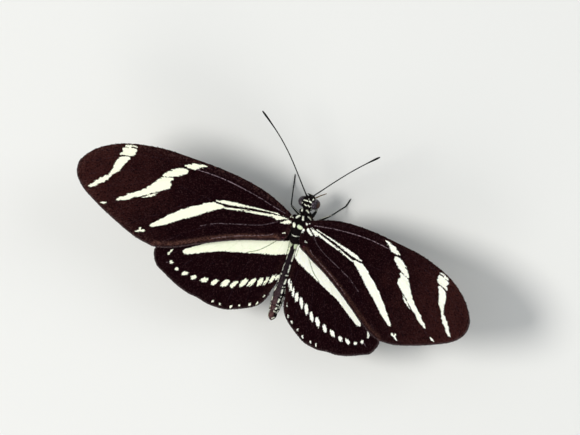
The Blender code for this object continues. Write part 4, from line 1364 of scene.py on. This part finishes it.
chance = np.random.default_rng(31)
for word, _ in SIDES:
    path = smooth_line(turned(PALP_PATHS[word]), 10)
    radii = np.interp(np.linspace(0.0, 3.0, len(path)), range(4), PALP_RADII)
    radii[0] *= 0.6
    stalk = tube(path, radii, PALP_SIDES)
    outward = (stalk[0] - on_rings(path, PALP_SIDES)) / on_rings(radii, PALP_SIDES)[:, None]
    pale = outward @ PALP_LINE_WAY - PALP_LINE_FROM
    numbers = {"pale": pale, "shade": np.full(len(pale), SKIN_SHADE)}
    palp = join_tubes("palp_skin_" + word, [stalk], numbers, body_finish)
    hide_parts("palp_" + word)
    coat = tube_coat(
        "palp_fur_" + word, [stalk], PALP_SIDES, [pale], PALP_TUFTS, 0.14, 0.042, 0.26, body_finish, chance
    )

path = smooth_line(TONGUE_PATH, 30)
length = reach_along(path)[-1]
places = np.arange(0.0, length, TONGUE_RING / 3.0)
radii = np.interp(places, (0.0, TONGUE_BASE, length), TONGUE_RADII)
radii[::3] *= 0.9
tongue_finish = horn_finish_of("tongue_skin", (0.105, 0.060, 0.020), (0.22, 0.145, 0.05), 0.4, 0.35)
tongue = join_tubes("tongue", [tube(at_reach(path, places), radii, TONGUE_SIDES)], {}, tongue_finish)
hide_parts("proboscis")

# Legs. Four thin walking legs stand on their feet and the two short front ones are held under the
# head. Each has a stout hip, a thick thigh with a white line, a thin shank with spurs and a jointed foot.
SOLE = -7.87
LEGS = (
    ("foreleg", (-1.0, 1.0), (
        (0.8, -5.15, -3.1), (1.4, -3.6, -3.2), (0.85, -2.7, -3.85), (0.7, -2.3, -4.5),
    )),
    ("midleg", (-1.0,), (
        (0.95, -6.7, -3.9), (1.5, -6.1, -4.6), (4.45, -4.55, -4.0), (6.75, -1.3, SOLE + 0.15),
        (6.95, -0.6, SOLE), (7.22, 0.65, SOLE),
    )),
    ("midleg", (1.0,), (
        (0.95, -6.5, -3.9), (1.5, -5.9, -4.6), (4.45, -3.35, -4.0), (5.3, -1.35, SOLE + 0.15),
        (5.45, -0.75, SOLE), (5.75, 0.35, SOLE),
    )),
    ("hindleg", (-1.0, 1.0), (
        (0.9, -9.2, -3.7), (1.35, -9.6, -4.4), (4.3, -11.7, -3.7), (6.35, -15.8, SOLE + 0.15),
        (6.6, -16.6, SOLE), (7.1, -18.5, SOLE),
    )),
)
HIP_RADII = (0.36, 0.38, 0.30, 0.22)
THIGH_RADII = (0.17, 0.25, 0.27, 0.25, 0.20, 0.15)
SHANK_RADII = (0.14, 0.135, 0.125, 0.12, 0.125, 0.14)
SPUR_RADII = (0.05, 0.04, 0.015)
LIMB_SIDES = 14
THIGH_LINE_WAY = (0.0, 0.55, 0.83)
THIGH_LINE_FROM = 0.955
FOOT_RADIUS = 0.125
# Where the joints of the foot are, and the shape of one segment
FOOT_JOINTS = (0.0, 0.40, 0.58, 0.74, 0.87, 1.0)
FOOT_SEGMENT = np.array((0.8, 1.0, 1.05, 1.0))
CLAW_LENGTH = 0.22
LEG_TUFTS = 2600
FORELEG_TUFTS = 900


def limb_part(start, end, radii, rounds, bow=0.0):
    """One segment of a leg between two joints, with rounded ends and a slight bow."""
    t = np.linspace(0.0, 1.0, rounds)
    path = start + (end - start) * t[:, None]
    path[:, 2] += bow * np.sin(math.pi * t)
    radius = np.interp(t, np.linspace(0.0, 1.0, len(radii)), radii)
    radius = radius * np.sqrt(np.clip(np.minimum(t, 1.0 - t) / 0.03, 0.12, 1.0))
    return tube(path, radius, LIMB_SIDES)


def foot_of(shank, line):
    """Two spurs at the end of a shank, the foot's segments along its line, and two claws."""
    spurs = []
    for turn in (-1.0, 1.0):
        end = line[0] + shank * 0.32 + (0.12 * turn, 0.0, 0.05)
        spurs.append(limb_part(line[0] - shank * 0.05, end, SPUR_RADII, 8))
    path = smooth_line(line, 12)
    stops = at_reach(path, np.array(FOOT_JOINTS) * reach_along(path)[-1])
    segments = []
    for number, (here, there) in enumerate(zip(stops, stops[1:])):
        thick = FOOT_RADIUS * (1.0 - 0.05 * number)
        segments.append(limb_part(here, there + (there - here) * 0.04, thick * FOOT_SEGMENT, 14))
    tip, ahead = stops[-1], unit(stops[-1] - stops[-2])
    beside = np.array((-ahead[1], ahead[0], 0.0))
    claws = []
    for turn in (-1.0, 1.0):
        claw = smooth_line((
            tip, tip + ahead * 0.10 + beside * 0.07 * turn + (0.0, 0.0, 0.03),
            tip + ahead * CLAW_LENGTH + beside * 0.10 * turn - (0.0, 0.0, 0.06),
        ), 6)
        claws.append(tube(claw, np.linspace(0.04, 0.012, len(claw)), 8))
    return spurs, segments, claws


leg_finish = horn_finish_of("leg_cuticle", (0.010, 0.009, 0.009), (0.030, 0.036, 0.031), 0.5, 0.16)
for kind, sides, joints in LEGS:
    for side in sides:
        word = "left" if side < 0 else "right"
        knots = np.array(joints) * (side, 1.0, 1.0)
        hip, knee, ankle = knots[1:4]
        upper = [
            limb_part(knots[0], hip, HIP_RADII, 24), limb_part(hip, knee, THIGH_RADII, 40, 0.12),
            limb_part(knee, ankle, SHANK_RADII, 36, 0.06),
        ]
        spurs, foot, claws = foot_of(unit(ankle - knee), knots[3:]) if len(knots) > 4 else ([], [], [])
        parts = upper + spurs + foot + claws
        pales = [np.full(len(part[0]), -1.0) for part in parts]
        thigh = unit(knee - hip)
        pales[1] = laid(upper[1][0] - hip, thigh) @ laid(np.array(THIGH_LINE_WAY), thigh) - THIGH_LINE_FROM
        leg = join_tubes(f"{kind}_shell_{word}", parts, {"pale": np.concatenate(pales)}, leg_finish)
        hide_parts(f"{kind}_{word}")
        pales = pales[:3] + pales[5:5 + len(foot)]
        tufts = LEG_TUFTS if foot else FORELEG_TUFTS
        name, shell = f"{kind}_scales_{word}", upper + foot
        coat = tube_coat(name, shell, LIMB_SIDES, pales, tufts, 0.15, 0.05, 0.13, leg_finish, chance)
